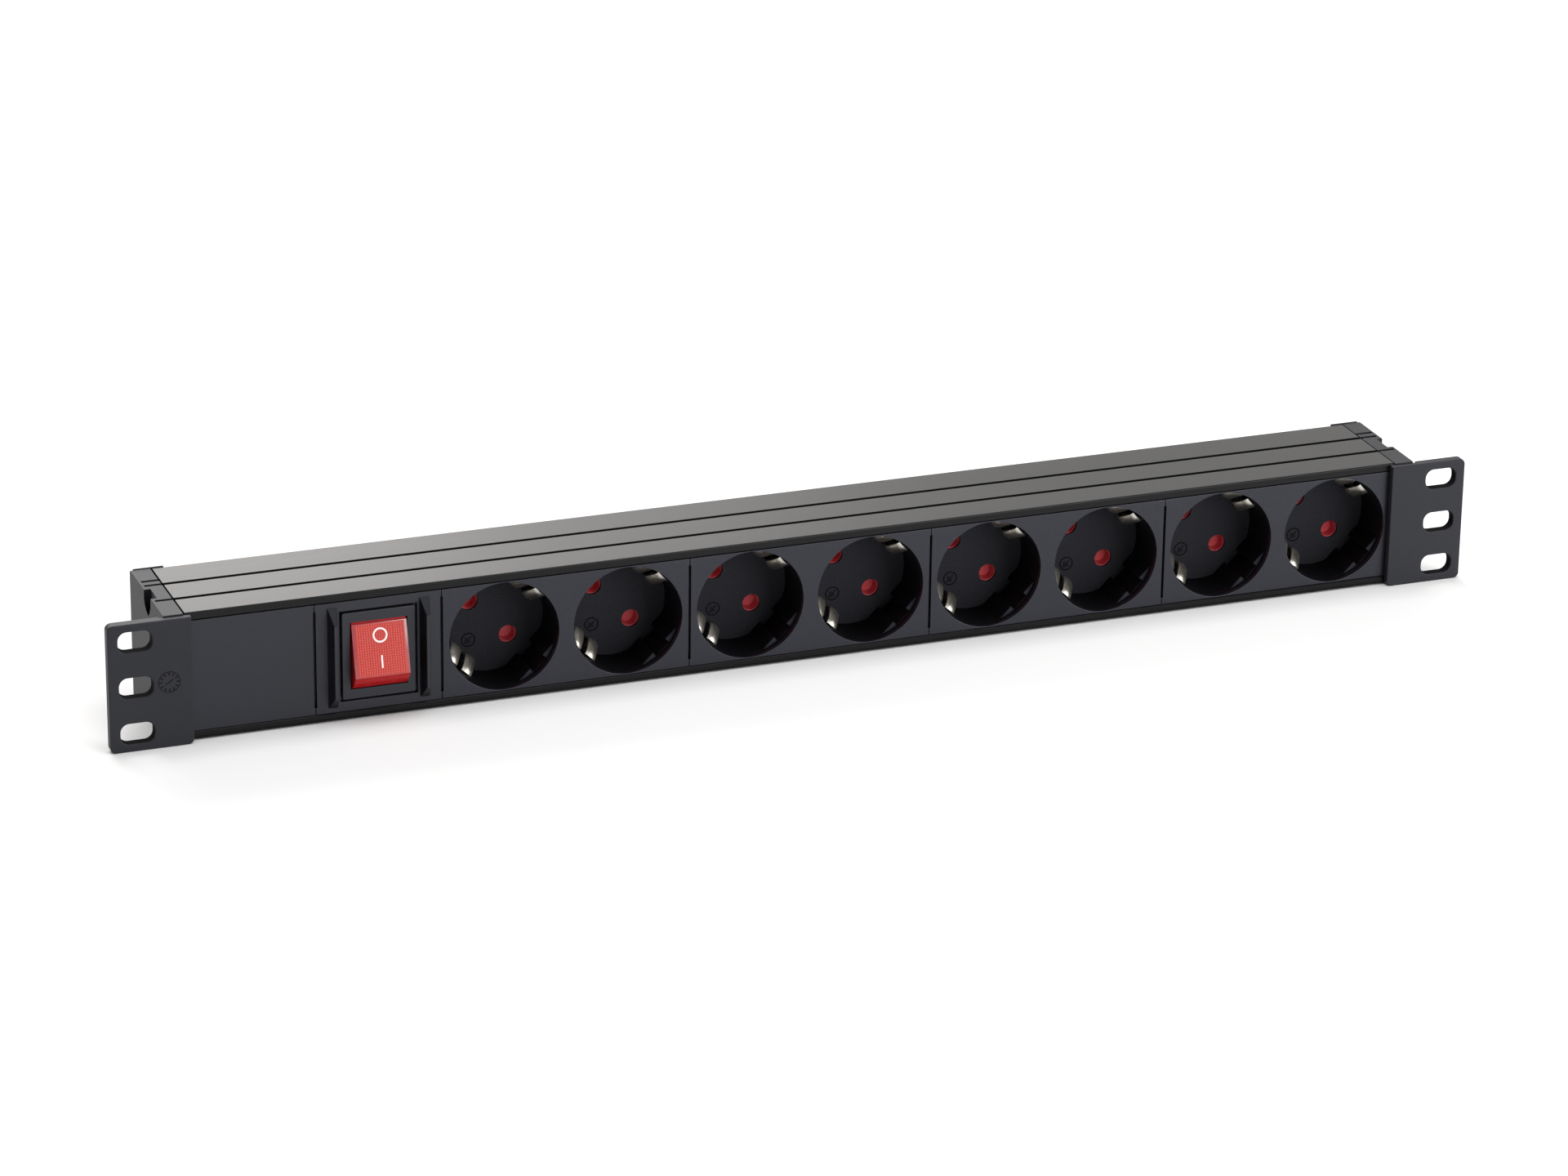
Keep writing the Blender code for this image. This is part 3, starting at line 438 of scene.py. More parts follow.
def repeated(mesh, name, sizes, layout, material):
    """A Geometry Nodes tree that puts a copy of the mesh on each point of a layout.
    The layout's sizes are the tree's inputs."""
    tree = bpy.data.node_groups.new(name, "GeometryNodeTree")
    ports = tree.interface
    ports.new_socket("Geometry", in_out="INPUT", socket_type="NodeSocketGeometry")
    values = {}
    for label, value in sizes.items():
        kind = "NodeSocketInt" if isinstance(value, int) else "NodeSocketFloat"
        values[ports.new_socket(label, in_out="INPUT", socket_type=kind).identifier] = value
    finish = ports.new_socket("Finish", in_out="INPUT", socket_type="NodeSocketMaterial")
    values[finish.identifier] = material
    ports.new_socket("Geometry", in_out="OUTPUT", socket_type="NodeSocketGeometry")
    given = add(tree, "NodeGroupInput").outputs
    points, turn = layout(tree, given)
    copies = add(tree, "GeometryNodeInstanceOnPoints", Points=points, Instance=given["Geometry"],
                 Rotation=turn)
    real = add(tree, "GeometryNodeRealizeInstances", Geometry=copies.outputs["Instances"])
    done = add(tree, "GeometryNodeSetMaterial", Geometry=real.outputs["Geometry"], Material=given["Finish"])
    add(tree, "NodeGroupOutput", Geometry=done.outputs["Geometry"])
    item = bpy.data.objects.new(name, mesh)
    step = item.modifiers.new(name, "NODES")
    step.node_group = tree
    for key, value in values.items():
        step[key] = value
    return worked_out(item)


def round_dial(tree, given):
    """Points on a ring in the front plane, each turned to face its middle."""
    ring = add(tree, "GeometryNodeMeshCircle", Vertices=given["Count"], Radius=given["Radius"])
    share = add(tree, "ShaderNodeMath", {"operation": "DIVIDE"}, n0=2 * math.pi, n1=given["Count"])
    place_no = add(tree, "GeometryNodeInputIndex").outputs["Index"]
    angle = add(tree, "ShaderNodeMath", {"operation": "MULTIPLY"}, n0=place_no, n1=share.outputs["Value"])
    turn = add(tree, "ShaderNodeCombineXYZ", Z=angle.outputs["Value"])
    return ring.outputs["Mesh"], turn.outputs["Vector"]


def box_outline(x, height, half_wide, half_high):
    """A plain rectangle about its middle."""
    return [(x - half_wide, height - half_high), (x + half_wide, height - half_high),
            (x + half_wide, height + half_high), (x - half_wide, height + half_high)]


def in_plane(outline, rise):
    """A thin flat shape about the origin with its rise along z, in metres."""
    low = [(a / 1000, b / 1000, 0) for a, b in outline]
    count = len(outline)
    faces = [tuple(range(count - 1, -1, -1)), tuple(range(count, 2 * count))]
    for k in range(count):
        faces.append((k, (k + 1) % count, count + (k + 1) % count, count + k))
    mesh = bpy.data.meshes.new("stroke")
    mesh.from_pydata(low + [(a, b, rise / 1000) for a, b, _ in low], [], faces)
    return mesh


def on_dial(mesh):
    """The mesh turned from the flat to the dial's place on the ear, facing out."""
    for vertex in mesh.vertices:
        a, b, c = (1000 * part for part in vertex.co)
        vertex.co = place(CLOCK_X + a, CLOCK_FOOT - c, CLOCK_HEIGHT + b)
    return mesh


stroke = in_plane(box_outline(0, 0, *STROKE_HALF), CLOCK_RISE)
dial = {"Count": STROKES, "Radius": (CLOCK_RADIUS - STROKE_INSET) / 1000}
strokes = on_dial(repeated(stroke, "clock_strokes", dial, round_dial, dial_shade_abs))
rings = [ring_of(CLOCK_X, CLOCK_HEIGHT, radius, 64) for radius in (CLOCK_RADIUS, CLOCK_RADIUS - CLOCK_LINE)]
ring = pressed(rings, -CLOCK_RISE, CLOCK_RISE, 0.03, 1)
hand = on_dial(in_plane(HAND, CLOCK_RISE))
piece("mould_clock", joined([strokes, ring, hand]), dial_shade_abs, "strip")

# Blank plate
# A plain cover in black ABS that fills the first place of the front opening.
# It snaps in behind the channel's lips, and its corner nubs space it from the next module.
PITCH = 43.0
FACE = 2.8
FLANGE = 4.45
MODULE_BACK = 6.45
PANEL_HALF_HIGH = 19.25
FLANGE_HALF_HIGH = 20.1
NUB = 2.5
NUB_GAP = 0.1
SIDE_GAP = 0.4
BLANK_X = -193.5
STIFFENERS = (-10, 10)
STIFFENER_HALF = (0.8, 15.0)
STIFFENER_BACK = 11.45

# The plates are smoother than the caps and carry a faint sheen from the room in front, painted cool by the
# shared reflection tint.
plate_abs = moulded_black("black_plate_abs", "#08080c", "#17171d", 0.28, 0.28, 0.42, 0.02)


def panel_outline(x, count):
    """A module's front outline. Its sides stand back from the neighbours except at the corners."""
    outer = count * PITCH / 2 - NUB_GAP
    inner = count * PITCH / 2 - SIDE_GAP
    high = PANEL_HALF_HIGH
    nub = high - NUB
    right = [(outer, -high), (outer, -nub), (inner, -nub), (inner, nub), (outer, nub), (outer, high)]
    return [(x + a, MIDDLE + b) for a, b in right + [(-a, -b) for a, b in right]]


def flange(x, count):
    """The outline of the step behind a module's front that the channel's lips hold."""
    return box_outline(x, MIDDLE, count * PITCH / 2 - NUB_GAP, FLANGE_HALF_HIGH)


blank = [
    pressed([panel_outline(BLANK_X, 1)], FACE, FLANGE + 0.2, 0.15),
    pressed([flange(BLANK_X, 1)], FLANGE, MODULE_BACK, 0.15),
]
half_wide, half_high = STIFFENER_HALF
for offset in STIFFENERS:
    x = BLANK_X + offset
    blank.append(block(x - half_wide, x + half_wide, MODULE_BACK - 0.45, STIFFENER_BACK,
                       MIDDLE - half_high, MIDDLE + half_high))
piece("blank_cover", joined(blank), plate_abs, "strip", ["blank_plate"])

# Switch plate
# The same ABS plate with a sunk seat for the rocker switch, and a guard rib at each side of it
# that keeps the switch from being knocked.
SWITCH_X = -150.5
SWITCH_Z = MIDDLE
SEAT_HALF = (13.2, 15.85)
WINDOW_HALF = (11.0, 14.5)
RIB_OFFSET = 15.6
RIB_LONG = 17.6
RIB_RISE = 4.7
RIB_FOOT_HALF = 1.7
RIB_TOP_HALF = 0.62
RIB_SUNK = 0.3
CREST_HALF = 0.5
CREST_THICK = 0.4

seat = box_outline(SWITCH_X, SWITCH_Z, *SEAT_HALF)
window = box_outline(SWITCH_X, SWITCH_Z, *WINDOW_HALF)
switch_plate = [
    pressed([panel_outline(SWITCH_X, 1), seat], FACE, FLANGE + 0.2, 0.15),
    pressed([flange(SWITCH_X, 1), window], FLANGE + 0.1, MODULE_BACK, 0.1),
]
ribs = []
crest = FACE - RIB_RISE
crest_long = RIB_LONG - RIB_RISE
for side in (-1, 1):
    x = SWITCH_X + side * RIB_OFFSET
    foot = box_outline(x, MIDDLE, RIB_FOOT_HALF, RIB_LONG + RIB_SUNK)
    top = box_outline(x, MIDDLE, RIB_TOP_HALF, crest_long)
    rings = [[(a, FACE + RIB_SUNK, b) for a, b in foot], [(a, crest + 0.03, b) for a, b in top]]
    ribs.append(bevelled(loft(rings), 0.2))
    switch_plate.append(block(x - CREST_HALF, x + CREST_HALF, crest, crest + CREST_THICK,
                              MIDDLE - crest_long + 0.1, MIDDLE + crest_long - 0.1))
piece("switch_plate", joined(switch_plate), plate_abs, "strip", ["switch_frame"])
# The ribs take a darker copy of the plate's ABS: painted shade for their flanks, which face away from the
# light.
shaded_rib_abs = moulded_black("painted_shade_rib_abs", "#050507", "#0c0c0f", 0.28, 0.3, 0.42, 0.02, 1.36)
piece("guard_ribs", joined(ribs), shaded_rib_abs, "strip")

# Rocker switch housing
# A snap-in mains switch: a black nylon bezel with a box behind it.
# The bezel's opening is curved inside so that the rocker swings with a thin even gap.
BEZEL_FRONT = 2.4
BEZEL_BACK = 4.6
BEZEL_HALF = (12.5, 15.15)
BEZEL_ROUND = 0.7
CASE_BACK = 27.0
CASE_HALF = (10.8, 14.3)
PIVOT = 10.0
SWING = 13.95
CAVITY_HALF = 13.75
CAVITY_HALF_WIDE = 9.7
CAVITY_BACK = 19.0

# The switch's nylon is a little glossier than the plate, so its rim draws a thin light line.
switch_nylon = moulded_black("black_switch_nylon", "#0c0c10", "#17171c", 0.4, 0.3, 0.4, 0.015)


def arc(radius, first, last, steps):
    """Points about the origin from one angle to another, in radians."""
    angles = [first + (last - first) * k / steps for k in range(steps + 1)]
    return [(radius * math.cos(angle), radius * math.sin(angle)) for angle in angles]


def swing_space():
    """The hollow that the rocker moves in, as a cutter with curved ends."""
    first = math.acos((PIVOT - BEZEL_FRONT + 1) / SWING)
    last = math.asin(CAVITY_HALF / SWING)
    upper = [(PIVOT - a, b) for a, b in arc(SWING, first, last, 16)] + [(CAVITY_BACK, CAVITY_HALF)]
    outline = upper + [(y, -z) for y, z in reversed(upper)]
    return loft([[(SWITCH_X + side * CAVITY_HALF_WIDE, y, SWITCH_Z + z) for y, z in outline]
                 for side in (-1, 1)])


half_wide, half_high = BEZEL_HALF
bezel = rounded(SWITCH_X - half_wide, SWITCH_X + half_wide, SWITCH_Z - half_high, SWITCH_Z + half_high,
                [BEZEL_ROUND] * 4, 4)
ring = bevelled(drilled(pressed([bezel], BEZEL_FRONT, BEZEL_BACK, 0.3, 3), [swing_space()]), 0.15)
half_wide, half_high = CASE_HALF
case = block(SWITCH_X - half_wide, SWITCH_X + half_wide, BEZEL_BACK - 0.2, CASE_BACK,
             SWITCH_Z - half_high, SWITCH_Z + half_high)
case = drilled(case, [swing_space()])
piece("switch_case", joined([ring, case]), switch_nylon, "strip", ["switch_housing"])

# Rocker
# One moulding in red translucent polycarbonate, curved at both ends about its pivot.
# It stands in the off position: its upper end is pressed in and its lower end stands out.
ROCKER_HALF = 9.35
ROCKER_FACE = 10.3
ROCKER_ROUND = 13.7
ROCKER_TILT = -14.0
ROCKER_END = 72
ROCKER_TAIL = [(-1.0, 11.6), (3.2, 4.0)]
LENS_THICK = 0.4
HINGE = 1.5
HINGE_HALF = 10.5


def tilted(y, z):
    """A depth and a height about the pivot, turned with the rocker."""
    turn = math.radians(ROCKER_TILT)
    depth = PIVOT + y * math.cos(turn) - z * math.sin(turn)
    return depth, SWITCH_Z + y * math.sin(turn) + z * math.cos(turn)


def rocker_outline():
    """The rocker's side view about its pivot."""
    first = math.acos((ROCKER_FACE - LENS_THICK - 0.1) / ROCKER_ROUND)
    ends = arc(ROCKER_ROUND, first, math.radians(ROCKER_END), 12)
    half = [(-a, b) for a, b in ends] + ROCKER_TAIL
    return half + [(y, -z) for y, z in reversed(half)]


def mottled(name, dark, light, patch, detail, rough, ior=None, metal=False):
    """A finish in two close shades, in soft patches with one size in millimetres or one along each axis.
    Its roughness is one value, or a pair that the patches run between."""
    material, tree, shader = surface(name)
    where = add(tree, "ShaderNodeTexCoord").outputs["Object"]
    if isinstance(patch, tuple):
        stretch = [1000 / size for size in patch]
        where = add(tree, "ShaderNodeMapping", Vector=where, Scale=stretch).outputs["Vector"]
        scale = 1.0
    else:
        scale = 1000 / patch
    cloud = add(tree, "ShaderNodeTexNoise", Vector=where, Scale=scale, Detail=detail).outputs["Fac"]
    tint = add(tree, "ShaderNodeMix", {"data_type": "RGBA"}, Factor=cloud, A=colour(dark), B=colour(light))
    tree.links.new(tint.outputs["Result"], shader.inputs["Base Color"])
    if isinstance(rough, tuple):
        spread = add(tree, "ShaderNodeMapRange", Value=cloud, To_Min=rough[0], To_Max=rough[1])
        tree.links.new(spread.outputs["Result"], shader.inputs["Roughness"])
    else:
        shader.inputs["Roughness"].default_value = rough
    if ior:
        shader.inputs["IOR"].default_value = ior
    if metal:
        shader.inputs["Metallic"].default_value = 1.0
    return material


# Red polycarbonate lets light a little way in, so it glows where it is thin and goes deep red in shade.
red_polycarbonate = mottled("red_polycarbonate", "#94040a", "#a4060c", 4.0, 3.0, 0.25, 1.3)
depths = red_polycarbonate.node_tree.nodes["Principled BSDF"].inputs
depths["Subsurface Weight"].default_value = 0.15
depths["Subsurface Radius"].default_value = (0.004, 0.0006, 0.0004)
depths["Subsurface Scale"].default_value = 1.0

outline = rocker_outline()
rocker_body = loft([[(SWITCH_X + side * ROCKER_HALF, *tilted(a, b)) for a, b in outline] for side in (-1, 1)])
pin = ring_of(PIVOT, SWITCH_Z, HINGE, 24)
pin = loft([[(SWITCH_X + side * HINGE_HALF, a, b) for a, b in pin] for side in (-1, 1)])
piece("rocker_body", joined([bevelled(rocker_body, 0.25), pin]), red_polycarbonate, "rocker", ["rocker"])

# Rocker lens
# A clear red polycarbonate window over the rocker's face, with a field of fine prism dots on its back
# and a plain border that catches the light. The O and I signs are printed in white.
LENS_HALF_WIDE = 9.3
LENS_HALF_LONG = 8.92
LENS_DROP = 0.23
LENS_FOOT = -0.1
BORDER = 0.9
BORDER_FALL = 0.12
DOT_PITCH = 0.83
DOT_RISE = 0.15
DOT_COLUMNS = 20
DOT_ROWS = 21
SIGN_THICK = 0.17
ZERO_HEIGHT = 4.45
ZERO_RADII = (2.5, 1.92)
ONE_HALF = 0.28
ONE_SPAN = (-6.5, -2.2)
ONE_ROUND = 0.25

# The lens scatters light off its prisms and looks a flat, bright, slightly orange red.
lens_red = mottled("red_prism_lens", "#c0382e", "#b02e25", 1.111, 2.0, 0.3, 1.45)
# Without prisms the clear border mirrors the room, so it reads as a paler, greyer frame.
clear_border = mottled("clear_lens_border", "#8a3a40", "#a85257", 1.111, 2.0, 0.22, 1.585)
# The pad print is a thin flat white that the red behind warms a little.
sign_white = mottled("white_pad_print", "#f3dcdc", "#fff0ee", 0.4, 2.0, 0.4)


def window_ring(inset, rise):
    """The window's outline drawn in from its edge, at a height over the rocker's seat."""
    outline = box_outline(0, -LENS_DROP, LENS_HALF_WIDE - inset, LENS_HALF_LONG - 0.25 * inset)
    return [(SWITCH_X + a, *tilted(LENS_THICK - ROCKER_FACE - rise, b)) for a, b in outline]


def on_face(outlines, thick):
    """A thin layer on the rocker's face from outlines in millimetres about the face's middle."""
    mesh = pressed(outlines, 0, thick, 0.01, 0)
    for vertex in mesh.vertices:
        a = vertex.co.x * 1000
        b = vertex.co.z * 1000
        up = vertex.co.y * 1000 + DEPTH_MIDDLE
        depth, height = tilted(-ROCKER_FACE - thick + up, b)
        vertex.co = place(SWITCH_X + a, depth, height)
    return mesh


def over_window(tree, given):
    """Points in even rows and columns over a flat field."""
    sheet = add(tree, "GeometryNodeMeshGrid", Size_X=given["Wide"], Size_Y=given["Long"],
                Vertices_X=given["Columns"], Vertices_Y=given["Rows"])
    return sheet.outputs["Mesh"], (0, 0, 0)


pane = loft([window_ring(BORDER, LENS_FOOT), window_ring(BORDER, LENS_THICK)])
piece("rocker_window", pane, lens_red, "rocker", ["rocker_lens"])

rings = [window_ring(BORDER, 0), window_ring(0, 0), window_ring(0, LENS_THICK - BORDER_FALL),
         window_ring(BORDER, LENS_THICK)]
piece("rocker_window_border", loft(rings + rings[:1], False), clear_border, "rocker")

# Each prism dot is a low four-sided point.
base = [(a, b, 0) for a, b in box_outline(0, 0, DOT_PITCH / 2, DOT_PITCH / 2)] + [(0, 0, DOT_RISE)]
dot = bpy.data.meshes.new("dot")
dot.from_pydata([[part / 1000 for part in point] for point in base], [],
                [(3, 2, 1, 0), (0, 1, 4), (1, 2, 4), (2, 3, 4), (3, 0, 4)])
field = {"Wide": DOT_PITCH * (DOT_COLUMNS - 1) / 1000, "Long": DOT_PITCH * (DOT_ROWS - 1) / 1000,
         "Columns": DOT_COLUMNS, "Rows": DOT_ROWS}
dots = repeated(dot, "prism_dots", field, over_window, lens_red)
for vertex in dots.vertices:
    a, b, rise = (1000 * part for part in vertex.co)
    vertex.co = place(SWITCH_X + a, *tilted(0.01 - ROCKER_FACE - rise, b - LENS_DROP))
piece("rocker_prism_dots", dots, lens_red, "rocker")

zero = on_face([ring_of(0, ZERO_HEIGHT, radius, 64) for radius in ZERO_RADII], SIGN_THICK)
one = on_face([rounded(-ONE_HALF, ONE_HALF, *ONE_SPAN, [ONE_ROUND] * 4, 4)], SIGN_THICK)
piece("rocker_signs", joined([zero, one]), sign_white, "rocker")

# Inside the switch
# A neon lamp lies in the switch behind the rocker, and four tinned brass blades leave the back.
# They are seen only when the strip is taken apart.

# Tin over brass gives the blades a pale, slightly warm shine with soft streaks.
tinned_brass = mottled("tinned_brass", "#c9c3b0", "#e0dccf", 1.43, 4.0, 0.32, metal=True)
# The lamp's glass is a smooth pale orange, from the coated electrodes inside it.
lamp_glass = mottled("lamp_glass", "#e8b69a", "#f2cdb6", 2.0, 2.0, 0.08)


def repaint(node, material):
    """A CAD node whose shape is right keeps it and takes a better material."""
    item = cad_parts[node]
    item.data.materials.clear()
    item.data.materials.append(material)


for number in range(1, 5):
    repaint(f"switch_terminal_{number}", tinned_brass)
repaint("neon_lamp", lamp_glass)

# Twin sockets
# Each moulding in black glass-filled nylon carries two round earthed wells.
# Guide blocks stand on the pin line in each well, and slots in its floor let the earth clips through.
WELL = 18.9
WELL_WALL = 1.1
WELL_FLOOR = 20.2
FLOOR_THICK = 0.8
GUIDE_TOP = 6.0
GUIDE_EDGE = 0.25
CHORD = 16.8
SLOT = 3.0
PIN = 9.5
PIN_HOLE = 3.1
CLIP_SLOT = (-5.9, 5.9, 14.2, 18.2)
BOSS = 1.9
BOSS_BACK = 24.9
TWINS = 4
SOCKETS = [SWITCH_X + PITCH * (1 + k) for k in range(2 * TWINS)]

# The fronts carry the same faint sheen as the plates, with the same painted cool tint.
socket_nylon = moulded_black("black_socket_nylon", "#09090f", "#17171f", 0.3, 0.28, 0.42, 0.03)
# The walls take a near-black copy of the same nylon, painted shade so that the wells read as deep, and they
# are smooth.
shaded_wall_nylon = moulded_black("painted_shade_wall_nylon", "#040406", "#08080b", 0.35, 0.45, 0.55, 0.01, 1.3)
# The floors take a paler copy of the same nylon, painted light from above that shows them as a dull dark
# grey, and they are textured.
lit_floor_nylon = moulded_black("painted_light_floor_nylon", "#18181c", "#26262b", 0.35, 0.7, 0.85, 0.04, 1.36)
# The guide blocks' front faces carry a thin layer of paler, glossier nylon, a painted highlight for the
# bright streaks the light draws along them.
guide_highlight_nylon = moulded_black("painted_highlight_guide_nylon", "#2c2c33", "#3c3c44", 0.3, 0.25, 0.35, 0.01, 1.5)


def turned(outline, x):
    """Socket outlines are drawn along the pin line, which falls at 45 degrees to the right."""
    half = math.sqrt(0.5)
    return [(x + half * (u + v), MIDDLE + half * (v - u)) for u, v in outline]


def well_outline(radius):
    """A well's inner outline with its guide blocks, and the slot between the two at each end."""
    reach = math.sqrt(radius**2 - CHORD**2)
    out = math.sqrt(radius**2 - SLOT**2)
    first = math.atan2(reach, CHORD)
    points = [(CHORD, -SLOT), (out, -SLOT), (out, SLOT), (CHORD, SLOT)]
    points += arc(radius, first, math.pi - first, 40)
    return points + [(-u, -v) for u, v in points]


def well(x):
    """A well's walls, and its floor with the boss that its shutter turns on."""
    outside = ring_of(x, MIDDLE, WELL + WELL_WALL, 96)
    guides = turned(well_outline(WELL - 0.05), x)
    holes = []
    for end in (-1, 1):
        holes.append(turned(ring_of(end * PIN, 0, PIN_HOLE, 48), x))
        slot = rounded(*CLIP_SLOT, [0.5] * 4, 4)
        holes.append(turned([(u, end * v) for u, v in slot], x))
    walls = [
        pressed([outside, ring_of(x, MIDDLE, WELL, 96)], FLANGE, GUIDE_TOP + 0.3, 0.02, 0),
        pressed([outside, guides], GUIDE_TOP, WELL_FLOOR + 0.4, GUIDE_EDGE, 3),
    ]
    floor = [
        pressed([outside] + holes, WELL_FLOOR, WELL_FLOOR + FLOOR_THICK, 0.15, 2),
        rod_along_depth(x, MIDDLE, BOSS, WELL_FLOOR + 0.5, BOSS_BACK, 24),
    ]
    return joined(walls), joined(floor)


def guide_top_highlights(x):
    """A thin paler layer on the front faces of a well's guide blocks, a painted highlight, two at each end of
    the pin line with a slot between.
    """
    near, low = CHORD + GUIDE_EDGE, SLOT + GUIDE_EDGE
    outline = [(near, low)] + arc(WELL, math.asin(low / WELL), math.acos(near / WELL), 12)
    tops = []
    for end in (-1, 1):
        for side in (-1, 1):
            top = turned([(end * u, side * v) for u, v in outline], x)
            tops.append(pressed([top], GUIDE_TOP - 0.03, GUIDE_TOP + 0.2, 0.02, 0))
    return joined(tops)


def along_strip(tree, given):
    """Points in a row along the strip, a pitch apart."""
    step = add(tree, "ShaderNodeCombineXYZ", X=given["Pitch"])
    row = add(tree, "GeometryNodeMeshLine", Count=given["Count"], Offset=step.outputs["Vector"])
    return row.outputs["Mesh"], (0, 0, 0)


def for_each_socket(mesh, name, material):
    """The first socket's mesh, copied along to all of them."""
    return repeated(mesh, name, {"Count": len(SOCKETS), "Pitch": PITCH / 1000}, along_strip, material)


pair = SOCKETS[:2]
x = sum(pair) / 2
mouths = [ring_of(centre, MIDDLE, WELL, 96) for centre in pair]
behind = [ring_of(centre, MIDDLE, WELL + 0.4, 96) for centre in pair]
twin_front = joined([
    pressed([panel_outline(x, 2)] + mouths, FACE, FLANGE + 0.2, 0.18),
    pressed([flange(x, 2)] + behind, FLANGE, MODULE_BACK, 0.1),
])
row = {"Count": TWINS, "Pitch": 2 * PITCH / 1000}
fronts = repeated(twin_front, "twin_fronts", row, along_strip, socket_nylon)
piece("socket_fronts", fronts, socket_nylon, "strip", [f"socket_face_{k}" for k in range(1, 5)])
walls, floors = well(SOCKETS[0])
for name, mesh, material in (
    ("well_walls", walls, shaded_wall_nylon),
    ("well_floors", floors, lit_floor_nylon),
    ("guide_top_highlights", guide_top_highlights(SOCKETS[0]), guide_highlight_nylon),
):
    piece(name, for_each_socket(mesh, name, material), material, "strip")

# Earth signs
# A small earth sign in a ring stands on each well's floor, raised by less than a tenth of a millimetre.
# It is part of the same nylon moulding.
SIGN_OFF = -10.0
SIGN_RISE = 0.08
SIGN_LINE = 0.34
SIGN_STEM = 1.5
SIGN_BARS = ((1.25, -0.3), (0.85, -0.95), (0.45, -1.6))
SIGN_RADII = (2.5, 2.1)

# It takes a near-black, smoother copy of the floor's nylon, painted shade that makes the raised sign read
# darker than the floor.
sign_shade_nylon = moulded_black("painted_shade_sign_nylon", "#030304", "#060608", 0.4, 0.3, 0.4, 0.01, 1.15)
lines = [(SIGN_LINE / 2, 0.0, SIGN_STEM)] + [(half, low, low + SIGN_LINE) for half, low in SIGN_BARS]
shapes = []
for half, low, high in lines:
    line = [(-half, low), (half, low), (half, high), (-half, high)]
    shapes.append([turned([(u, v + SIGN_OFF) for u, v in line], SOCKETS[0])])
shapes.append([turned(ring_of(0, SIGN_OFF, radius, 48), SOCKETS[0]) for radius in SIGN_RADII])
marks = [pressed(shape, WELL_FLOOR - SIGN_RISE, WELL_FLOOR + 0.1, 0.02, 0) for shape in shapes]
signs = for_each_socket(joined(marks), "earth_signs", sign_shade_nylon)
piece("earth_signs", signs, sign_shade_nylon, "strip")

# Shutters
# A red polypropylene bar behind each floor turns on a boss and covers both pin holes.
# Each end is dished, so that both pins together push it round.
SHUTTER_FRONT = 21.25
SHUTTER_THICK = 3.2
SHUTTER_ARM = 3.6
SHUTTER_HUB = 4.6
SHUTTER_BORE = 2.1
DISH = 2.9
DISH_RINGS = ((2.95, 0.1), (2.85, 0.25), (2.6, 2.75), (2.4, 2.95), (0.05, 2.95), (0.05, 3.15), (2.95, 3.15))

# Polypropylene is waxy and even, a clear red that shows in the dark pin holes.
shutter_red = mottled("red_polypropylene", "#b43038", "#c44048", 2.5, 3.0, 0.35, 1.6)
root = math.atan2(SHUTTER_ARM, math.sqrt(SHUTTER_HUB**2 - SHUTTER_ARM**2))
half_bar = [(PIN + u, v) for u, v in arc(SHUTTER_ARM, -math.pi / 2, math.pi / 2, 16)]
half_bar += arc(SHUTTER_HUB, root, math.pi - root, 8)
bar = half_bar + [(-u, -v) for u, v in half_bar]
for number, x in enumerate(SOCKETS, 1):
    holes = [ring_of(x, MIDDLE, SHUTTER_BORE, 32)]
    dishes = []
    for end in (-1, 1):
        holes.append(turned(ring_of(end * PIN, 0, DISH, 40), x))
        rings = []
        for radius, depth in DISH_RINGS + DISH_RINGS[:1]:
            ring = turned(ring_of(end * PIN, 0, radius, 40), x)
            rings.append([(a, SHUTTER_FRONT + depth, b) for a, b in ring])
        dishes.append(loft(rings, False))
    plate = pressed([turned(bar, x)] + holes, SHUTTER_FRONT, SHUTTER_FRONT + SHUTTER_THICK, 0.1, 1)
    shutter = f"shutter_{number}"
    piece("red_" + shutter, joined([plate] + dishes), shutter_red, shutter, [shutter])

# Earth clips
# A strip of bright nickel-plated spring steel behind each floor, with two rounded fingers at each end
# that come up through the floor and bow inwards to press on the plug.
CLIP_FRONT = 25.3
CLIP_STRIP = (-5.2, 5.2, -17.7, 17.7)
CLIP_STRIP_THICK = 0.7
CLIP_THICK = 0.6
FINGER_MIDDLE = 3.4
FINGER_HALF = 2.2
FINGER_LINE = ((17.45, 25.6), (17.0, 22.6), (15.6, 20.9), (14.2, 19.6), (13.4, 18.6), (13.2, 17.5),
               (13.6, 16.4), (14.3, 15.3), (15.1, 14.2), (15.9, 13.2), (16.6, 12.4),
               (17.3, 11.8), (18.0, 11.4))
FINGER_ACROSS = 6
CROWN = 0.5
CROWN_START = 19.0

# Bright nickel is a warm mirror with a fine haze, which gives the sharp glints in the dark wells.
nickel = mottled("bright_nickel_plate", "#d8d3c8", "#ebe7de", 0.8333, 3.0, (0.26, 0.4), metal=True)


